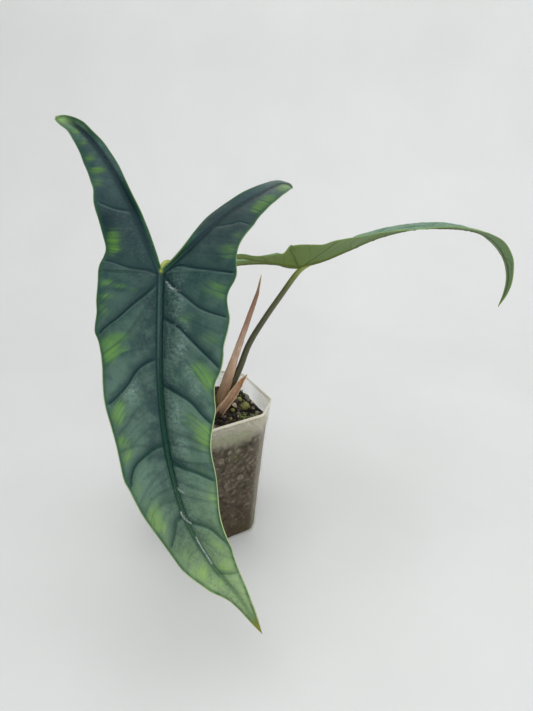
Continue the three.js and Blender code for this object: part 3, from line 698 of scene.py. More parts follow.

    # Relief finer than the mesh: puckers beside the midrib, streaks along the fine veins, grain of about
    # 0.8 mm, and the specks at the glinting spots.
    relief = product(crinkle, puckered, 5.0)
    for height, share in ((streaks, 0.45), (pebble, 0.6), (specks, 0.6)):
        relief = node("ShaderNodeMath", height, share, relief, operation="MULTIPLY_ADD")
    relief = node("ShaderNodeBump", Height=relief, Strength=0.8, Distance=0.0009)
    shader = node(
        "ShaderNodeBsdfPrincipled", Base_Color=paint(lower, (upper, side)), Roughness=wax, Normal=relief,
        Metallic=product(side, (green_mask, 0.8, 0.1), metal), Coat_Weight=0.04, Coat_Roughness=0.25,
        IOR=1.4, Specular_IOR_Level=0.27)
    node("ShaderNodeOutputMaterial", Surface=shader)
    return material


def front_leaf_skin():
    tones = [(0.0, "#6a9470"), (0.07, "#3c5e56"), (0.14, "#1d4046"), (0.22, "#0c272d"), (0.36, "#2b4944"),
             (0.5, "#456257"), (0.68, "#5d7b68"), (0.79, "#708c69"), (0.88, "#8fab78"), (0.94, "#98b37c"),
             (1.0, "#9cb66c")]
    greens = [(0.0, "#5f8a2c"), (0.3, "#558430"), (0.48, "#64963e"), (0.65, "#729a48"), (0.9, "#93b864")]
    ribs = [(0.28, "#0c262c"), (0.36, "#38544f"), (0.46, "#35504b"), (0.52, "#1e4636"), (0.64, "#234f3a"),
            (0.72, "#31583f"), (0.84, "#44694a"), (0.95, "#6f9060")]
    under = {"tones": [(0.0, "#7d9a6b"), (0.5, "#88a277"), (1.0, "#7f9f5d")], "mottle": "#6f8c62",
             "green": "#7fa455", "vein": "#6c7f48", "rib": "#7f8c47"}
    tint = {"cloud": "#546e62", "mottle": "#4c6259", "dusk": "#4a5056", "halo": "#1d3a3a", "light": "#7f9c92",
            "line": "#03282a", "pale": "#9cc07c", "margin": "#1d502f", "rim": "#bcc890", "speck": "#c3d2c8",
            "tip": "#84842c", "glint": "#d3dedb", "notch": "#c0d456"}
    return leaf_skin("alocasia leaf, mature", tones, greens, ribs, under, tint, 0.22)


def back_leaf_skin():
    # The young leaf is a paler green, and its upper tones also carry a painted reflection of the bright
    # surroundings, which its face shows at a grazing angle.
    tones = [(0.0, "#5f8a56"), (0.3, "#6a8f62"), (0.6, "#6f977a"), (0.8, "#6a9170"), (1.0, "#5d8f58")]
    greens = [(0.0, "#7fa653"), (0.5, "#7aa465"), (1.0, "#6f9f58")]
    ribs = [(0.3, "#608552"), (0.9, "#608552")]
    under = {"tones": [(0.0, "#768c32"), (0.3, "#697e3a"), (0.5, "#728b5a"), (0.75, "#78936c"),
                       (1.0, "#7a9c7c")],
             "mottle": "#63794a", "green": "#7d9a45", "vein": "#4c5f2c", "rib": "#58652a"}
    tint = {"cloud": "#5d846c", "mottle": "#5d8468", "dusk": "#5d8468", "halo": "#4c7758", "light": "#8fb096",
            "line": "#3a6244", "pale": "#74903f", "margin": "#4a7a4a", "rim": "#98ae62", "speck": "#a0bda6",
            "tip": "#6f9a3c", "glint": "#a9c2a8", "notch": "#9db254"}
    return leaf_skin("alocasia leaf, young", tones, greens, ribs, under, tint, 0.05)


# Stalks: (x, y, z, radius) along the middle line.

FRONT_STALK = [
    (4.2, 3.4, 108, 3.4), (1.4, 0.5, 124, 3.2), (-0.6, -6, 145, 2.8), (-0.8, -17, 175, 2.5),
    (-2.5, -30, 211, 2.3), (-7.8, -44, 240, 2.2), (-14.2, -53, 249.8, 2.1), (-17.4, -57.7, 248.8, 1.9),
    (-17.9, -59.8, 244, 1.3), (-18, -63.2, 238, 0.5),
]
BACK_STALK = [
    (7, 6.2, 108, 3.2), (14.1, 6.9, 126.7, 3), (23.3, 8.4, 147.5, 2.65), (31.1, 10.1, 167.9, 2.4),
    (43.4, 11.9, 188.6, 2.2), (56.2, 13.5, 207.5, 2.1), (65.4, 14.7, 220.8, 2.1), (70.6, 15.1, 226.3, 1.8),
    (76.5, 15.4, 229.2, 1),
]
TALL_SHEATH = [
    (6, 4.2, 106, 5.0), (9.5, 4.7, 125, 4.9), (12.6, 5.2, 135.2, 4.2), (16.3, 5.7, 146.5, 3.6),
    (22.2, 6.5, 164.7, 2.6), (30.4, 7.5, 188.1, 2), (37.2, 8.3, 207.1, 1.6), (38.7, 8.6, 213.1, 0.95),
    (39.7, 8.8, 218, 0.7), (40.8, 9, 223.6, 0.25),
]
SHORT_SHEATH = [
    (3.4, -3.4, 107, 4.0), (8.4, -2.9, 115.8, 3.9), (13.3, -2.3, 122.4, 3.5), (18.6, -1.8, 130.2, 3.4),
    (23.2, -1.4, 137.9, 2.4), (26.1, -1.2, 142.4, 1.3), (29.5, -1, 146.5, 0.25),
]
SHEATH_FLATNESS = 0.8
SHEATH_THICKNESS = 0.35


def stations(line, steps):
    """Places, frames and radii along a line: middle, direction to the front, direction to the side."""
    curve = spline([point[:3] for point in line], run_on=True)
    share = np.linspace(0, 1, steps + 1)
    middle = at(curve, share)
    tangent = unit(at((np.gradient(curve[0], curve[1], axis=0), curve[1]), share))
    # A station's radius belongs to its own point, so radii are spread by the points' own running length.
    own = curve[1][:: (len(curve[1]) - 1) // (len(line) - 1)]
    radius = np.interp(share * curve[1][-1], own, [point[3] for point in line])
    front = np.array([0.0, -1.0, 0.0])
    facing = unit(front - tangent * (tangent @ front)[:, None])
    side = np.cross(facing, tangent)
    return middle, facing, side, radius, share, share * curve[1][-1]


def tube_faces(rings, sides, closed=True):
    """Faces between rings of points that follow each other, of a tube or of an open sheet."""
    faces = []
    for k in range(rings - 1):
        for i in range(sides if closed else sides - 1):
            j = (i + 1) % sides
            faces.append([k * sides + i, k * sides + j, (k + 1) * sides + j, (k + 1) * sides + i])
    return faces


def capped_tube(rings, sides):
    """A tube's faces, closed by a fan at each end. The two points of the fans follow the rings' points."""
    low, high, last = rings * sides, rings * sides + 1, (rings - 1) * sides
    faces = tube_faces(rings, sides)
    faces += [[low, (i + 1) % sides, i] for i in range(sides)]
    faces += [[high, last + i, last + (i + 1) % sides] for i in range(sides)]
    return faces


def make_stalk(name, line, material, steps=170, sides=36):
    """A stalk along a line of stations, closed at both ends."""
    middle, facing, side, radius, share, length = stations(line, steps)
    angle = np.arange(sides) / sides * 2 * np.pi
    # A fresh stalk is not quite round: it has a faint flat groove on its inner face.
    outline = 1 - 0.05 * gauss(np.abs(angle - np.pi), 0.5) + 0.012 * np.sin(5 * angle)
    r = radius[:, None] * outline
    points = (middle[:, None] + facing[:, None] * (r * np.cos(angle))[..., None]
              - side[:, None] * (r * np.sin(angle))[..., None])
    points = np.vstack([points.reshape(-1, 3), middle[0] - 0.3 * radius[0] * UP, middle[-1]])
    flow = np.stack([np.broadcast_to(angle * 2.4, r.shape), np.broadcast_to(length[:, None], r.shape),
                     np.zeros(r.shape)], -1)
    values = {
        "grade": np.concatenate([np.repeat(share, sides), [0, 1]]),
        "flow_mm": np.vstack([flow.reshape(-1, 3), flow[0, 0], flow[-1, 0]]),
    }
    return mesh_object(name, points, capped_tube(steps + 1, sides), material, values)


def make_sheath(name, line, material, opening, turn, seed, steps=110, across=30):
    """A dry sheath: a thin sheet rolled into a gutter that closes to a point. Its slit faces the front
    when turn is 0."""
    middle, facing, side, radius, share, length = stations(line, steps)
    spread = np.linspace(-1, 1, across)
    lean = grain(np.column_stack([length, 0 * length, 0 * length]), 9.0, seed)
    widest = np.radians(opening) * (1 - 0.25 * share ** 2) + 0.12 * lean
    angle = math.radians(turn) + spread[None] * widest[:, None]
    flute = 0.16 * np.sin(13 * angle + seed) + 0.08 * np.sin(29 * angle)
    wrinkle = np.array([[noise.noise(Vector((a * 3, l / 9, seed))) for a in row]
                        for row, l in zip(angle, length)])
    thickness = np.minimum(SHEATH_THICKNESS, 0.3 * radius)[:, None]
    outer = np.maximum(radius[:, None] * (1 + 0.1 * wrinkle) + flute * np.minimum(radius, 1.2)[:, None], 0.15)
    shells = []
    for r in (outer, np.maximum(outer - thickness, 0.05)):
        back = (-np.cos(angle) * r * SHEATH_FLATNESS)[..., None]
        aside = (np.sin(angle) * r)[..., None]
        shells.append((middle[:, None] + facing[:, None] * back + side[:, None] * aside).reshape(-1, 3))
    rows, count = steps + 1, (steps + 1) * across
    sheet = tube_faces(rows, across, closed=False)
    faces = [face[::-1] for face in sheet] + [[count + i for i in face] for face in sheet]
    grid = np.arange(count).reshape(rows, across)
    loop = [int(i) for i in (*grid[0, :-1], *grid[:-1, -1], *grid[-1, :0:-1], *grid[:0:-1, 0])]
    faces += [[start, end, end + count, start + count] for start, end in zip(loop, loop[1:] + loop[:1])]
    flow = np.column_stack([(angle * 4.0).ravel(), np.repeat(length, across), np.zeros(count)])
    values = {"grade": np.tile(np.repeat(share, across), 2), "flow_mm": np.vstack([flow, flow])}
    return mesh_object(name, np.vstack(shells), faces, material, values)


def stalk_skin(name, tones, streak):
    """Smooth fleshy stalk: thin waxy skin with fine lengthwise streaks and a faint sheen."""
    material, tree = new_material(name)
    grade = node("ShaderNodeAttribute", tree=tree, output="Fac", attribute_name="grade")
    flow = node("ShaderNodeAttribute", tree=tree, output="Vector", attribute_name="flow_mm")
    # Streaks of about 0.45 by 14 mm along the stalk, and flecks of about 1 mm.
    long = node("ShaderNodeMapping", Vector=flow, Scale=(1.4, 0.045, 1.0))
    streaks = node("ShaderNodeTexNoise", Vector=long, Scale=1.6, Detail=4.0)
    flecks = node("ShaderNodeTexNoise", Vector=flow, Scale=0.9, Detail=3.0)
    colour = paint(
        node("ShaderNodeValToRGB", grade, stops=tones),
        (streak[0], ("near", streaks, 0.62, 0.42), 0.55),
        (streak[1], ("near", flecks, 0.6, 0.36), 0.3),
    )
    relief = node("ShaderNodeMath", streaks, flecks, operation="ADD")
    relief = node("ShaderNodeBump", Height=relief, Strength=0.35, Distance=0.0004)
    shader = node(
        "ShaderNodeBsdfPrincipled", Base_Color=colour, Roughness=product((flecks, 0.0, 1.0, 0.34, 0.5)),
        Normal=relief, Coat_Weight=0.12, Coat_Roughness=0.3)
    node("ShaderNodeOutputMaterial", Surface=shader)
    return material


def sheath_skin(name, tones):
    """Dried sheath: thin, matt and papery, pinkish brown with darker fibres along it."""
    material, tree = new_material(name)
    grade = node("ShaderNodeAttribute", tree=tree, output="Fac", attribute_name="grade")
    flow = node("ShaderNodeAttribute", tree=tree, output="Vector", attribute_name="flow_mm")
    # Fibres of about 0.5 by 13 mm along the sheath, and blotches of about 6 mm.
    long = node("ShaderNodeMapping", Vector=flow, Scale=(1.3, 0.05, 1.0))
    fibres = node("ShaderNodeTexNoise", Vector=long, Scale=1.5, Detail=5.0, Roughness=0.6)
    blotch = node("ShaderNodeTexNoise", Vector=flow, Scale=0.16, Detail=3.0)
    colour = paint(
        node("ShaderNodeValToRGB", grade, stops=tones),
        ("#a08468", ("near", blotch, 0.42, 0.62), 0.3),
        ("#8e6c5c", ("near", fibres, 0.42, 0.52), 0.4),
        ("#5e4436", ("near", fibres, 0.34, 0.42), 0.55),
    )
    relief = node("ShaderNodeBump", Height=fibres, Strength=0.8, Distance=0.0006)
    shader = node(
        "ShaderNodeBsdfPrincipled", Base_Color=colour, Roughness=0.78, Normal=relief,
        Specular_IOR_Level=0.3)
    node("ShaderNodeOutputMaterial", Surface=shader)
    return material


# Rootstock.

STEM = {"x": 5.0, "y": 4.2, "radius": 5.2, "bottom": 84.0, "top": 116.5}
FOOT_SHARE, DOME_SHARE = 0.12, 0.16
SCAR_PITCH = 3.2


def make_stem_base(name, material, rings=60, sides=48):
    """Short rootstock, ringed by the scars of shed leaves and domed where the stalks leave it."""
    height = STEM["top"] - STEM["bottom"]
    share = np.linspace(0, 1, rings)
    foot = np.sqrt(np.clip(share / FOOT_SHARE, 0.05, 1))
    dome = np.sqrt(np.clip(1 - ((share - 1 + DOME_SHARE) / DOME_SHARE).clip(0, 1) ** 2, 0.004, 1))
    scars = 1 - 0.06 * np.abs(np.sin(share * height / SCAR_PITCH * np.pi)) ** 6
    angle = np.arange(sides) / sides * 2 * np.pi
    lump = np.array([[noise.noise(Vector((2 * math.cos(a), 2 * math.sin(a), s * 9))) for a in angle]
                     for s in share])
    r = (STEM["radius"] * np.minimum(foot, dome) * scars)[:, None] * (0.96 + 0.05 * lump)
    z = np.broadcast_to((STEM["bottom"] + share * height)[:, None], r.shape)
    points = np.stack([STEM["x"] + r * np.cos(angle), STEM["y"] + r * np.sin(angle), z], -1).reshape(-1, 3)
    points = np.vstack([points, [(STEM["x"], STEM["y"], STEM[end]) for end in ("bottom", "top")]])
    flow = np.column_stack([points[:, 0] * 3, points[:, 2] * 0.4, points[:, 1] * 3])
    values = {"grade": (points[:, 2] - STEM["bottom"]) / height, "flow_mm": flow}
    return mesh_object(name, points, capped_tube(rings, sides), material, values)


# Pot.

POT_HEIGHT, RIM_SIDE, BASE_SIDE = 125.0, 83.2, 58.0
WALL, FLOOR = 1.0, 1.2
RIM_CHAMFER, BASE_CHAMFER, CREASE = 16.5, 9.0, 2.4
LIP_OUT, LIP_DEPTH, LIP_STRAIGHT_TO, LIP_ROUND = 0.4, 2.6, 0.8, 0.7
FOOT_BEVEL, WALL_BOW = 1.4, 0.35

# Rings of the ledge under the lip (height, share of the lip's overhang) and of the rounded inner foot
# (height over the floor, distance from the wall).
LEDGE = ((0.0, 0.0), (0.15, 0.8), (0.5, 1.0))
INNER_FOOT = ((0.2, 0.3), (0.0, 0.9))
POT_TURN = math.radians(29.4)
DRAIN_RADIUS, DRAIN_FROM_MIDDLE, DRAIN_SIDES = 4.0, 19.0, 32
CHAMFER_GROWTH = 2 - math.sqrt(2)
RUN_STEPS, CREASE_STEPS, CHAMFER_STEPS = 10, 5, 4
FOOT_STEPS, WALL_LEVELS, LIP_STEPS = 5, 26, 8


def pot_ring(z, grow=0.0):
    """One level of the pot, seen from above counterclockwise: a square with cut corners, softly creased."""
    share = z / POT_HEIGHT
    half = (BASE_SIDE + (RIM_SIDE - BASE_SIDE) * share) / 2 + grow
    chamfer = BASE_CHAMFER + (RIM_CHAMFER - BASE_CHAMFER) * share + CHAMFER_GROWTH * grow
    first, second = np.array([half, half - chamfer]), np.array([half - chamfer, half])
    slant = unit(second - first) * CREASE
    ends = [first - (0, CREASE), first + slant, second - slant, second - (CREASE, 0)]
    t = np.linspace(0, 1, CREASE_STEPS + 1)[:, None]
    bend = lambda a, b, c: (1 - t) ** 2 * a + 2 * t * (1 - t) * b + t ** 2 * c
    run = lambda a, b, steps: a + (b - a) * (np.arange(1, steps) / steps)[:, None]
    start = np.array([half, -(half - chamfer) + CREASE])
    quarter = np.vstack([
        run(start, ends[0], RUN_STEPS), bend(ends[0], first, ends[1]), run(ends[1], ends[2], CHAMFER_STEPS),
        bend(ends[2], second, ends[3]),
    ])
    ring = []
    for turn in range(4):
        c, s = math.cos(turn * math.pi / 2 + POT_TURN), math.sin(turn * math.pi / 2 + POT_TURN)
        ring.append(quarter @ np.array([[c, s], [-s, c]]))
    flat = np.vstack(ring)
    return np.column_stack([flat, np.full(len(flat), z)])


def wall_bow(z):
    """How far the wall sinks in at each height."""
    return WALL_BOW * np.sin(np.clip(z / POT_HEIGHT, 0, 1) * np.pi)


def outward(points):
    """Level directions away from the pot's middle line, shorter within a millimetre of it."""
    return points[:, :2] / np.maximum(np.hypot(points[:, 0], points[:, 1]), 1)[:, None]


def drain_plugs():
    """What the drain holes take out of the floor: a round plug towards the middle of each side's half."""
    corners, walls = [], []
    for eighth in (1, 3, 5, 7):
        direction = eighth * math.pi / 4 + POT_TURN
        x, y = DRAIN_FROM_MIDDLE * math.cos(direction), DRAIN_FROM_MIDDLE * math.sin(direction)
        first = len(corners)
        for z in (-2.0, 4.0):
            for i in range(DRAIN_SIDES):
                a = i / DRAIN_SIDES * 2 * math.pi
                corners.append((x + DRAIN_RADIUS * math.cos(a), y + DRAIN_RADIUS * math.sin(a), z))
        walls += [[first + i for i in face] for face in tube_faces(2, DRAIN_SIDES)]
        walls += [[first + i for i in reversed(range(DRAIN_SIDES))],
                  [first + DRAIN_SIDES + i for i in range(DRAIN_SIDES)]]
    mesh = bpy.data.meshes.new("drain holes")
    mesh.from_pydata((np.array(corners) * MM).tolist(), [], walls)
    plugs = bpy.data.objects.new("drain holes", mesh)
    bpy.context.scene.collection.objects.link(plugs)
    return plugs


def make_pot(name, material):
    """Thin moulded pot: its wall bows in a little between the corners, and its lip is rounded."""
    rings = []
    for angle in np.arange(FOOT_STEPS + 1) / FOOT_STEPS * math.pi / 2:
        rings.append(pot_ring(FOOT_BEVEL * (1 - math.cos(angle)), -FOOT_BEVEL * (1 - math.sin(angle))))
    low = POT_HEIGHT - LIP_DEPTH
    rings += [pot_ring(z) for z in np.linspace(FOOT_BEVEL + 2, low - 0.5, WALL_LEVELS)]
    rings += [pot_ring(low + up, LIP_OUT * out) for up, out in LEDGE]
    rings += [pot_ring(POT_HEIGHT - LIP_STRAIGHT_TO, LIP_OUT)]
    lip_middle, lip_half = (LIP_OUT - WALL) / 2, (LIP_OUT + WALL) / 2
    for angle in np.arange(1, LIP_STEPS) / LIP_STEPS * math.pi:
        z = POT_HEIGHT - LIP_ROUND + LIP_ROUND * math.sin(angle)
        rings.append(pot_ring(z, lip_middle + lip_half * math.cos(angle)))
    inside = np.linspace(POT_HEIGHT - LIP_STRAIGHT_TO, FLOOR + 1, WALL_LEVELS)
    rings += [pot_ring(z, -WALL) for z in inside]
    rings += [pot_ring(FLOOR + up, -WALL - away) for up, away in INNER_FOOT]
    points = np.vstack(rings)
    points[:, :2] -= outward(points) * wall_bow(points[:, 2])[:, None]
    points = np.vstack([points, (0, 0, 0), (0, 0, FLOOR)])

    # The cut corners are marked, because a painted highlight makes them whiter.
    bend = np.arange(1, CREASE_STEPS + 2) / (CREASE_STEPS + 1)
    quarter = np.concatenate([np.zeros(RUN_STEPS - 1), bend, np.ones(CHAMFER_STEPS - 1), bend[::-1]])
    cut = np.concatenate([np.tile(quarter, 4 * len(rings)), [0, 0]])
    pot = mesh_object(name, points, capped_tube(len(rings), len(rings[0])), material, {"cut": cut})
    plugs = drain_plugs()
    bored = pot.modifiers.new("drain holes", "BOOLEAN")
    bored.operation, bored.solver, bored.object = "DIFFERENCE", "EXACT", plugs
    return applied(pot, [plugs])


def applied(piece, helpers=()):
    """The evaluated piece as a plain mesh, with its modifiers and helpers gone."""
    graph = bpy.context.evaluated_depsgraph_get()
    mesh = bpy.data.meshes.new_from_object(piece.evaluated_get(graph))
    piece.modifiers.clear()
    piece.data = mesh
    mesh.name = piece.name
    for helper in helpers:
        bpy.data.objects.remove(helper)
    return piece


def pot_plastic():
    """Injection-moulded natural polypropylene: thin, milky and see-through, with a soft gloss and
    a haze of fine scuffs. It is whiter at its lip, a painted highlight makes its cut corners whiter, and
    it looks clearer where the wet mix lies against it. Its far walls are clearer, so that the bright
    backdrop shows through them in place of the light that comes through the plastic. Heights and
    depths are in metres here."""
    material, tree = new_material("natural polypropylene")
    place = node("ShaderNodeTexCoord", tree=tree, output="Object")
    cut = node("ShaderNodeAttribute", tree=tree, output="Fac", attribute_name="cut")
    depth, height = (node("ShaderNodeSeparateXYZ", place, output=axis) for axis in "YZ")
    # Haze in patches of about 26 mm, and scuffs of about 2.4 by 33 mm up the walls.
    haze = node("ShaderNodeTexNoise", Vector=place, Scale=38.0, Detail=5.0)
    drawn = node("ShaderNodeMapping", Vector=place, Scale=(420.0, 420.0, 30.0))
    scuffs = node("ShaderNodeTexNoise", Vector=drawn, Scale=1.0, Detail=3.0)
    tone = paint(
        node("ShaderNodeValToRGB", haze, stops=[(0.3, "#dcd5be"), (0.7, "#f0ebdb")]),
        ("#b4bb88", ("near", height, 0.112, 0.121), ("near", haze, 0.56, 0.44), 0.6),
    )
    ragged = node("ShaderNodeMath", haze, 0.03, height, operation="MULTIPLY_ADD")
    dry = node("ShaderNodeMapRange", Value=ragged, From_Min=0.113, From_Max=0.13, To_Min=0.022,
               To_Max=0.31, interpolation_type="SMOOTHSTEP")
    # The far walls are made clearer, so that the bright backdrop shows through them in place of the daylight
    # that comes in through the milky plastic.
    milky = product(dry, (depth, 0.012, 0.026, 1.0, 0.3))
    # A painted highlight makes the cut corners whiter, and the lip is whiter.
    for whiter in ((cut, 0.0, 1.0, 0.0, 0.16), (height, 0.1228, 0.1236, 0.0, 0.5)):
        milky = node("ShaderNodeMath", milky, product(whiter), operation="ADD")
    relief = node("ShaderNodeBump", Height=haze, Strength=0.2, Distance=0.0008)
    shader = node(
        "ShaderNodeBsdfPrincipled", Base_Color=tone, Roughness=product((scuffs, 0.3, 0.7, 0.3, 0.48)),
        IOR=1.49, Alpha=milky, Normal=relief)
    node("ShaderNodeOutputMaterial", Surface=shader)
    return material


# Potting mix.

SOIL_LEVEL, SOIL_RISE = 110.5, 2.0
SOIL_CLEARANCE = 0.35
SOIL_FOOT_INSET, SOIL_FOOT_RISE = 0.6, 0.35
SOIL_SHOULDER, CRUST = 4.0, 0.6
SOIL_LEVELS, SOIL_TOP_RINGS = 60, 46


def soil_top(x, y):
    """The mix stands higher towards the pot's back, in the pot's own unturned frame."""
    unturned = -x * math.sin(POT_TURN) + y * math.cos(POT_TURN)
    return SOIL_LEVEL + SOIL_RISE * unturned / RIM_SIDE


def make_mix_body(name, material):
    """The filling: its side lies against the pot's wall, and its top is loose and uneven."""
    grow = -WALL - SOIL_CLEARANCE
    rings = [pot_ring(FLOOR + SOIL_FOOT_RISE, grow - SOIL_FOOT_INSET)]
    rings += [pot_ring(z, grow) for z in np.linspace(FLOOR + 0.9, SOIL_LEVEL - SOIL_SHOULDER, SOIL_LEVELS)]
    sides = len(rings[0])
    edge = pot_ring(SOIL_LEVEL, grow)
    for step in range(SOIL_TOP_RINGS):
        share = 1 - step / SOIL_TOP_RINGS
        rings.append(edge * (share, share, 1))
    points = np.vstack(rings)
    top = np.arange(len(points)) >= (1 + SOIL_LEVELS) * sides
    rough = grain(points, 7.0, 5.0) * 1.1 + grain(points, 2.6, 9.0) * 0.7
    bow = wall_bow(points[:, 2]) + np.maximum(0, grain(points, 4.0, 2.0)) * 0.5
    away = outward(points)
    points[~top, :2] -= away[~top] * bow[~top, None]
    points[top, 2] = soil_top(points[top, 0], points[top, 1]) - CRUST + rough[top]
    points[top, :2] -= away[top] * WALL_BOW
    points = np.vstack([points, (0, 0, points[0, 2]), (0, 0, soil_top(0, 0) - CRUST)])
    return mesh_object(name, points, capped_tube(len(rings), sides), material)


def mix_finish():
    """Moist aroid mix pressed against the wall: pale pumice and brown bark of 3 to 9 mm, mottled with
    dark fibre, a little algae, and wetter and darker towards the base."""
    material, tree = new_material("bark and pumice potting mix")
    place = node("ShaderNodeTexCoord", tree=tree, output="Object")
    mm = node("ShaderNodeMapping", Vector=place, Scale=(1000.0, 1000.0, 1000.0))
    # Chunks of about 5 mm with outlines bent by a warp of 5 mm, crumbs of about 3.6 mm, fibre of about
    # 1 mm, and algae in patches of about 18 mm.
    warp = node("ShaderNodeTexNoise", Vector=mm, Scale=0.2, Detail=3.0, output="Color")
    bent = node("ShaderNodeVectorMath", warp, (5.0, 5.0, 5.0), mm, operation="MULTIPLY_ADD")
    chunks = node("ShaderNodeTexVoronoi", Vector=bent, Scale=0.19, Smoothness=0.7, output="Color",
                  feature="SMOOTH_F1")
    gaps = node("ShaderNodeTexVoronoi", Vector=bent, Scale=0.17, feature="DISTANCE_TO_EDGE")
    fibre = node("ShaderNodeTexNoise", Vector=mm, Scale=0.9, Detail=6.0, Roughness=0.7)
    algae = node("ShaderNodeTexNoise", Vector=mm, Scale=0.055, Detail=3.0)
    crumbs = node("ShaderNodeTexNoise", Vector=mm, Scale=0.28, Detail=5.0, Roughness=0.65)
    crumbs = node("ShaderNodeValToRGB", crumbs, stops=[
        (0.36, "#15100c"), (0.45, "#3a2f26"), (0.53, "#726555"), (0.63, "#a5988a")])
    height = node("ShaderNodeSeparateXYZ", mm, output="Z")
    colour = paint(
        node("ShaderNodeValToRGB", node("ShaderNodeSeparateColor", chunks), stops=[
            (0.15, "#2e251c"), (0.3, "#62564a"), (0.42, "#8a7c6c"), (0.52, "#4a3f34"), (0.62, "#a29382"),
            (0.74, "#6a5542"), (0.85, "#b4a894")]),
        (crumbs, 0.55),
        ("#1b1410", ("near", gaps, 0.02, 0.2), 0.45),
        ("#1d1812", ("near", fibre, 0.5, 0.36), 0.5),
        ("#4f5a24", ("near", algae, 0.7, 0.6), 0.45),
        ("#2f1c0c", (height, 5.0, 80.0, 0.75, 0.0)),
    )
    relief = node("ShaderNodeMath", gaps, fibre, operation="ADD")
    relief = node("ShaderNodeBump", Height=relief, Strength=0.4, Distance=0.002)
    shader = node(
        "ShaderNodeBsdfPrincipled", Base_Color=colour, Roughness=0.85, Normal=relief,
        Specular_IOR_Level=0.15)
    node("ShaderNodeOutputMaterial", Surface=shader)
    return material


def lump_finish(name, tones, rough, pore):
    """Finish of one kind of chip: tones mottled at the chip's own scale, with pores or fibres in relief."""
    material, tree = new_material(name)
    place = node("ShaderNodeTexCoord", tree=tree, output="Object")
    mm = node("ShaderNodeMapping", Vector=place, Scale=(1000.0, 1000.0, 1000.0))
    # Mottling of about 3.6 mm, and pores of 0.3 to 1.1 mm by the kind.
    large = node("ShaderNodeTexNoise", Vector=mm, Scale=0.28, Detail=2.0)
    small = node("ShaderNodeTexNoise", Vector=mm, Scale=pore, Detail=5.0, Roughness=0.7)
    tone = node("ShaderNodeMath", small, 0.5, product(large, 0.6), operation="MULTIPLY_ADD")
    relief = node("ShaderNodeBump", Height=small, Strength=0.8, Distance=0.0007)
    shader = node(
        "ShaderNodeBsdfPrincipled", Base_Color=node("ShaderNodeValToRGB", tone, stops=tones),
        Roughness=rough, Normal=relief)
    node("ShaderNodeOutputMaterial", Surface=shader)
    return material


def chip_tree():
    """Geometry Nodes: a lump at each point, sized by the point, turned and dented at random."""
    tree = bpy.data.node_groups.new("chips at points", "GeometryNodeTree")
    sockets = {"Places": "Geometry", "Flattest": "Float", "Longest": "Float", "Dents": "Float",
               "Dent scale": "Float", "Seed": "Int", "Finish": "Material"}
    for name, kind in sockets.items():
        tree.interface.new_socket(name, in_out="INPUT", socket_type="NodeSocket" + kind)
    tree.interface.new_socket("Chips", in_out="OUTPUT", socket_type="NodeSocketGeometry")
    given = tree.nodes.new("NodeGroupInput").outputs
    places = node("GeometryNodeMeshToPoints", Mesh=given["Places"])
    lump = node("GeometryNodeMeshIcoSphere", tree=tree, Radius=1.0, Subdivisions=2)
    size = node("GeometryNodeInputNamedAttribute", tree=tree, Name="size", data_type="FLOAT")

    # Each lump has its own three widths and its own turn.
    least = node("ShaderNodeCombineXYZ", 0.8, 0.8, given["Flattest"])
    most = node("ShaderNodeCombineXYZ", given["Longest"], 1.05, 1.0)
    widths = node("FunctionNodeRandomValue", least, most, Seed=given["Seed"], data_type="FLOAT_VECTOR")
    widths = node("ShaderNodeVectorMath", widths, Scale=size, operation="SCALE")
    seed = node("ShaderNodeMath", given["Seed"], 101.0, operation="ADD")
    turn = node("FunctionNodeRandomValue", (-0.5, -0.5, 0.0), (0.5, 0.5, 2 * math.pi), Seed=seed,
                data_type="FLOAT_VECTOR")
    chips = node("GeometryNodeInstanceOnPoints", Points=places, Instance=lump, Rotation=turn, Scale=widths)
    chips = node("GeometryNodeRealizeInstances", chips)
    noise_there = node("ShaderNodeTexNoise", Scale=given["Dent scale"], Detail=2.0, output="Color")
    dents = node("ShaderNodeVectorMath", noise_there, (0.5, 0.5, 0.5), operation="SUBTRACT")
    dents = node("ShaderNodeVectorMath", dents, Scale=given["Dents"], operation="SCALE")
    chips = node("GeometryNodeSetPosition", Geometry=chips, Offset=dents)
    chips = node("GeometryNodeSetMaterial", Geometry=chips, Material=given["Finish"])
    node("NodeGroupOutput", Chips=chips)
    return tree


CHIPS = chip_tree()


def scatter(name, chips, material, form):
    """Chips, as rows of x, y, z and size in millimetres, made by Geometry Nodes and turned into one plain
    mesh. Their form is flattest, longest, depth and scale of dents, and seed."""
    chips = np.array(chips, float)
    piece = mesh_object(name, chips[:, :3], [], material, {"size": chips[:, 3] * MM})
    modifier = piece.modifiers.new("chips", "NODES")
    modifier.node_group = CHIPS
    flattest, longest, dents, dent_scale, seed = form
    values = {"Flattest": flattest, "Longest": longest, "Dents": dents * MM, "Dent scale": dent_scale,
              "Seed": seed, "Finish": material}
    for socket in CHIPS.interface.items_tree:
        if socket.in_out == "INPUT" and socket.name in values:
            modifier[socket.identifier] = values[socket.name]
    piece.update_tag()
    bpy.context.view_layer.update()
    return applied(piece)


STREWN_REACH, CORNER_CUT = 39.0, 15.5
STALKS_MIDDLE, STALKS_REACH = (5, 3.5), 6


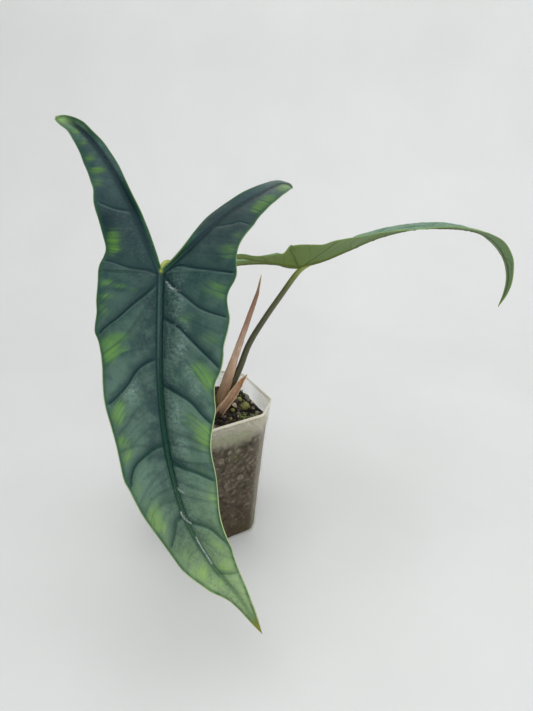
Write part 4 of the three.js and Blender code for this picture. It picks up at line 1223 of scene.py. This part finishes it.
def strewn(rng, count, smallest, largest, sink, near=None):
    """Chips strewn over the mix, clear of the stalks and the pot's wall, as rows of x, y, z and size.
    Near is the middle and the spread of a patch of them."""
    chips = []
    while len(chips) < count:
        x, y = rng.uniform(-STREWN_REACH, STREWN_REACH, 2)
        size = smallest + (largest - smallest) * rng.random() ** 2
        if near is not None:
            x, y = near[0] + rng.normal(0, near[2]), near[1] + rng.normal(0, near[3])
        c, s = math.cos(-POT_TURN), math.sin(-POT_TURN)
        u, v = x * c - y * s, x * s + y * c
        half = STREWN_REACH - size * 0.9
        inside = max(abs(u), abs(v)) < half and abs(u) + abs(v) < 2 * half - CORNER_CUT
        clear = math.hypot(x - STALKS_MIDDLE[0], y - STALKS_MIDDLE[1]) > STALKS_REACH + 0.5 * size
        if inside and clear:
            chips.append((x, y, soil_top(x, y) + size * (0.5 - sink), size))
    return chips


# Every kind of chip: its finish, the batches strewn (count, smallest, largest, sink and patch), the chips
# set one by one (x, y, z and size) and its form.
CHIP_KINDS = {
    "humus_crumbs": {
        "finish": ("black humus", [(0.3, "#0d0c0c"), (0.55, "#1b1917"), (0.75, "#2f2a26")], 0.9, 1.4),
        "batches": [(330, 1.0, 2.4, 0.05)],
        "form": (0.6, 1.3, 0.9, 600.0, 3),
    },
    "bark_chips": {
        "finish": ("pine bark", [(0.3, "#1f1610"), (0.5, "#3a2a1e"), (0.7, "#5a4230")], 0.85, 1.2),
        "batches": [(60, 1.3, 3.3, 0.0)],
        "form": (0.3, 1.6, 1.0, 330.0, 5),
    },
    "pumice_grit": {
        "finish": ("grey pumice", [(0.3, "#4f4a42"), (0.5, "#7a7468"), (0.75, "#a09a8c")], 0.9, 2.0),
        "batches": [(46, 1.3, 2.9, 0.0)],
        "set": [(37, 0.2, soil_top(37, 0.2) + 1.2, 2.3), (33.5, -6, 112.0, 1.6)],
        "form": (0.7, 1.2, 0.9, 420.0, 8),
    },
    "perlite_grains": {
        "finish": ("expanded perlite", [(0.3, "#a89a7f"), (0.55, "#cfc2a4"), (0.75, "#e6dcc4")], 0.8, 1.6),
        "batches": [(14, 1.1, 2.0, -0.2)],
        "set": [(17.9, 21.5, 112.6, 2.1), (17.8, 9.8, 112.4, 2.2), (32.7, 14.8, 112.3, 1.3),
                (19.5, 8.2, 112.2, 1.2)],
        "form": (0.8, 1.15, 0.8, 420.0, 13),
    },
    "clay_stones": {
        "finish": ("greenish zeolite", [(0.3, "#62643a"), (0.55, "#85854a"), (0.75, "#a3a05e")], 0.7, 0.9),
        "batches": [(7, 1.6, 3.0, -0.1)],
        "set": [(27.1, 7.8, 112.6, 4.4), (17.1, 2.9, 112.0, 1.9)],
        "form": (0.75, 1.2, 1.3, 200.0, 21),
    },
    "moss_tufts": {
        "finish": ("cushion moss", [(0.3, "#4a522c"), (0.5, "#767d4a"), (0.75, "#a5a76a")], 0.95, 3.0),
        "batches": [(240, 0.4, 1.0, -0.3, (33.0, -5.0, 4.4, 2.2)),
                    (60, 0.4, 0.9, -0.3, (26.0, 26.0, 5.0, 5.0))],
        "form": (0.8, 1.1, 0.5, 900.0, 34),
    },
}


def make_chips():
    rng = np.random.default_rng(7)
    for name, kind in CHIP_KINDS.items():
        chips = [chip for batch in kind["batches"] for chip in strewn(rng, *batch)] + kind.get("set", [])
        yield scatter(name, chips, lump_finish(*kind["finish"]), kind["form"])


# The object: each piece stands for its CAD node and rides on the one body.

def settle(piece, slot, *nodes):
    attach(piece, "root")
    if nodes:
        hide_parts(*nodes)


make_studio()

settle(make_blade("leaf_blade_front", FRONT_LEAF, front_leaf_skin()), "leaf_front", "blade_front")
settle(make_blade("leaf_blade_back", BACK_LEAF, back_leaf_skin()), "leaf_back", "blade_back")

tones = [(0.0, "#4f452c"), (0.25, "#423e28"), (0.6, "#403e2a"), (0.8, "#4f5228"), (0.9, "#788434"),
         (1.0, "#9db040")]
skin = stalk_skin("stalk skin, back leaf", tones, ("#3a3824", "#6a6a40"))
settle(make_stalk("stalk_back", BACK_STALK, skin), "stalk", "petiole_back")

tones = [(0.0, "#5b5034"), (0.3, "#55523a"), (0.7, "#6a6f48"), (0.84, "#8a8f6a"), (0.9, "#a3ad4a"),
         (1.0, "#c3d840")]
skin = stalk_skin("stalk skin, front leaf", tones, ("#6a6448", "#8c9456"))
settle(make_stalk("stalk_front", FRONT_STALK, skin), "stalk", "petiole_front")

tones = [(0.0, "#937a58"), (0.2, "#a0846a"), (0.36, "#d4b59a"), (0.5, "#dcbcaa"), (0.7, "#b88d7b"),
         (0.88, "#a07a66"), (1.0, "#cdb67c")]
skin = sheath_skin("dried sheath, tall", tones)
settle(make_sheath("sheath_leaning", TALL_SHEATH, skin, 150, 110, 1.7), "papery_sheath", "sheath_tall")

tones = [(0.0, "#b8917a"), (0.3, "#e2bb9e"), (0.7, "#ecc4a4"), (0.88, "#dba066"), (1.0, "#e5bf66")]
skin = sheath_skin("dried sheath, short", tones)
settle(make_sheath("sheath_scale", SHORT_SHEATH, skin, 140, 0, 4.1), "papery_sheath", "sheath_short")

tones = [(0.0, "#3a2c20"), (0.6, "#6b5a38"), (0.9, "#857546"), (1.0, "#8d7f4c")]
skin = stalk_skin("corky rootstock", tones, ("#33281c", "#7c6c48"))
settle(make_stem_base("rootstock", skin), "rootstock", "stem_base")

settle(make_pot("nursery_pot", pot_plastic()), "pot_plastic", "pot")
settle(make_mix_body("potting_mix", mix_finish()), "potting_mix", "soil")
for chips in make_chips():
    settle(chips, "potting_mix")
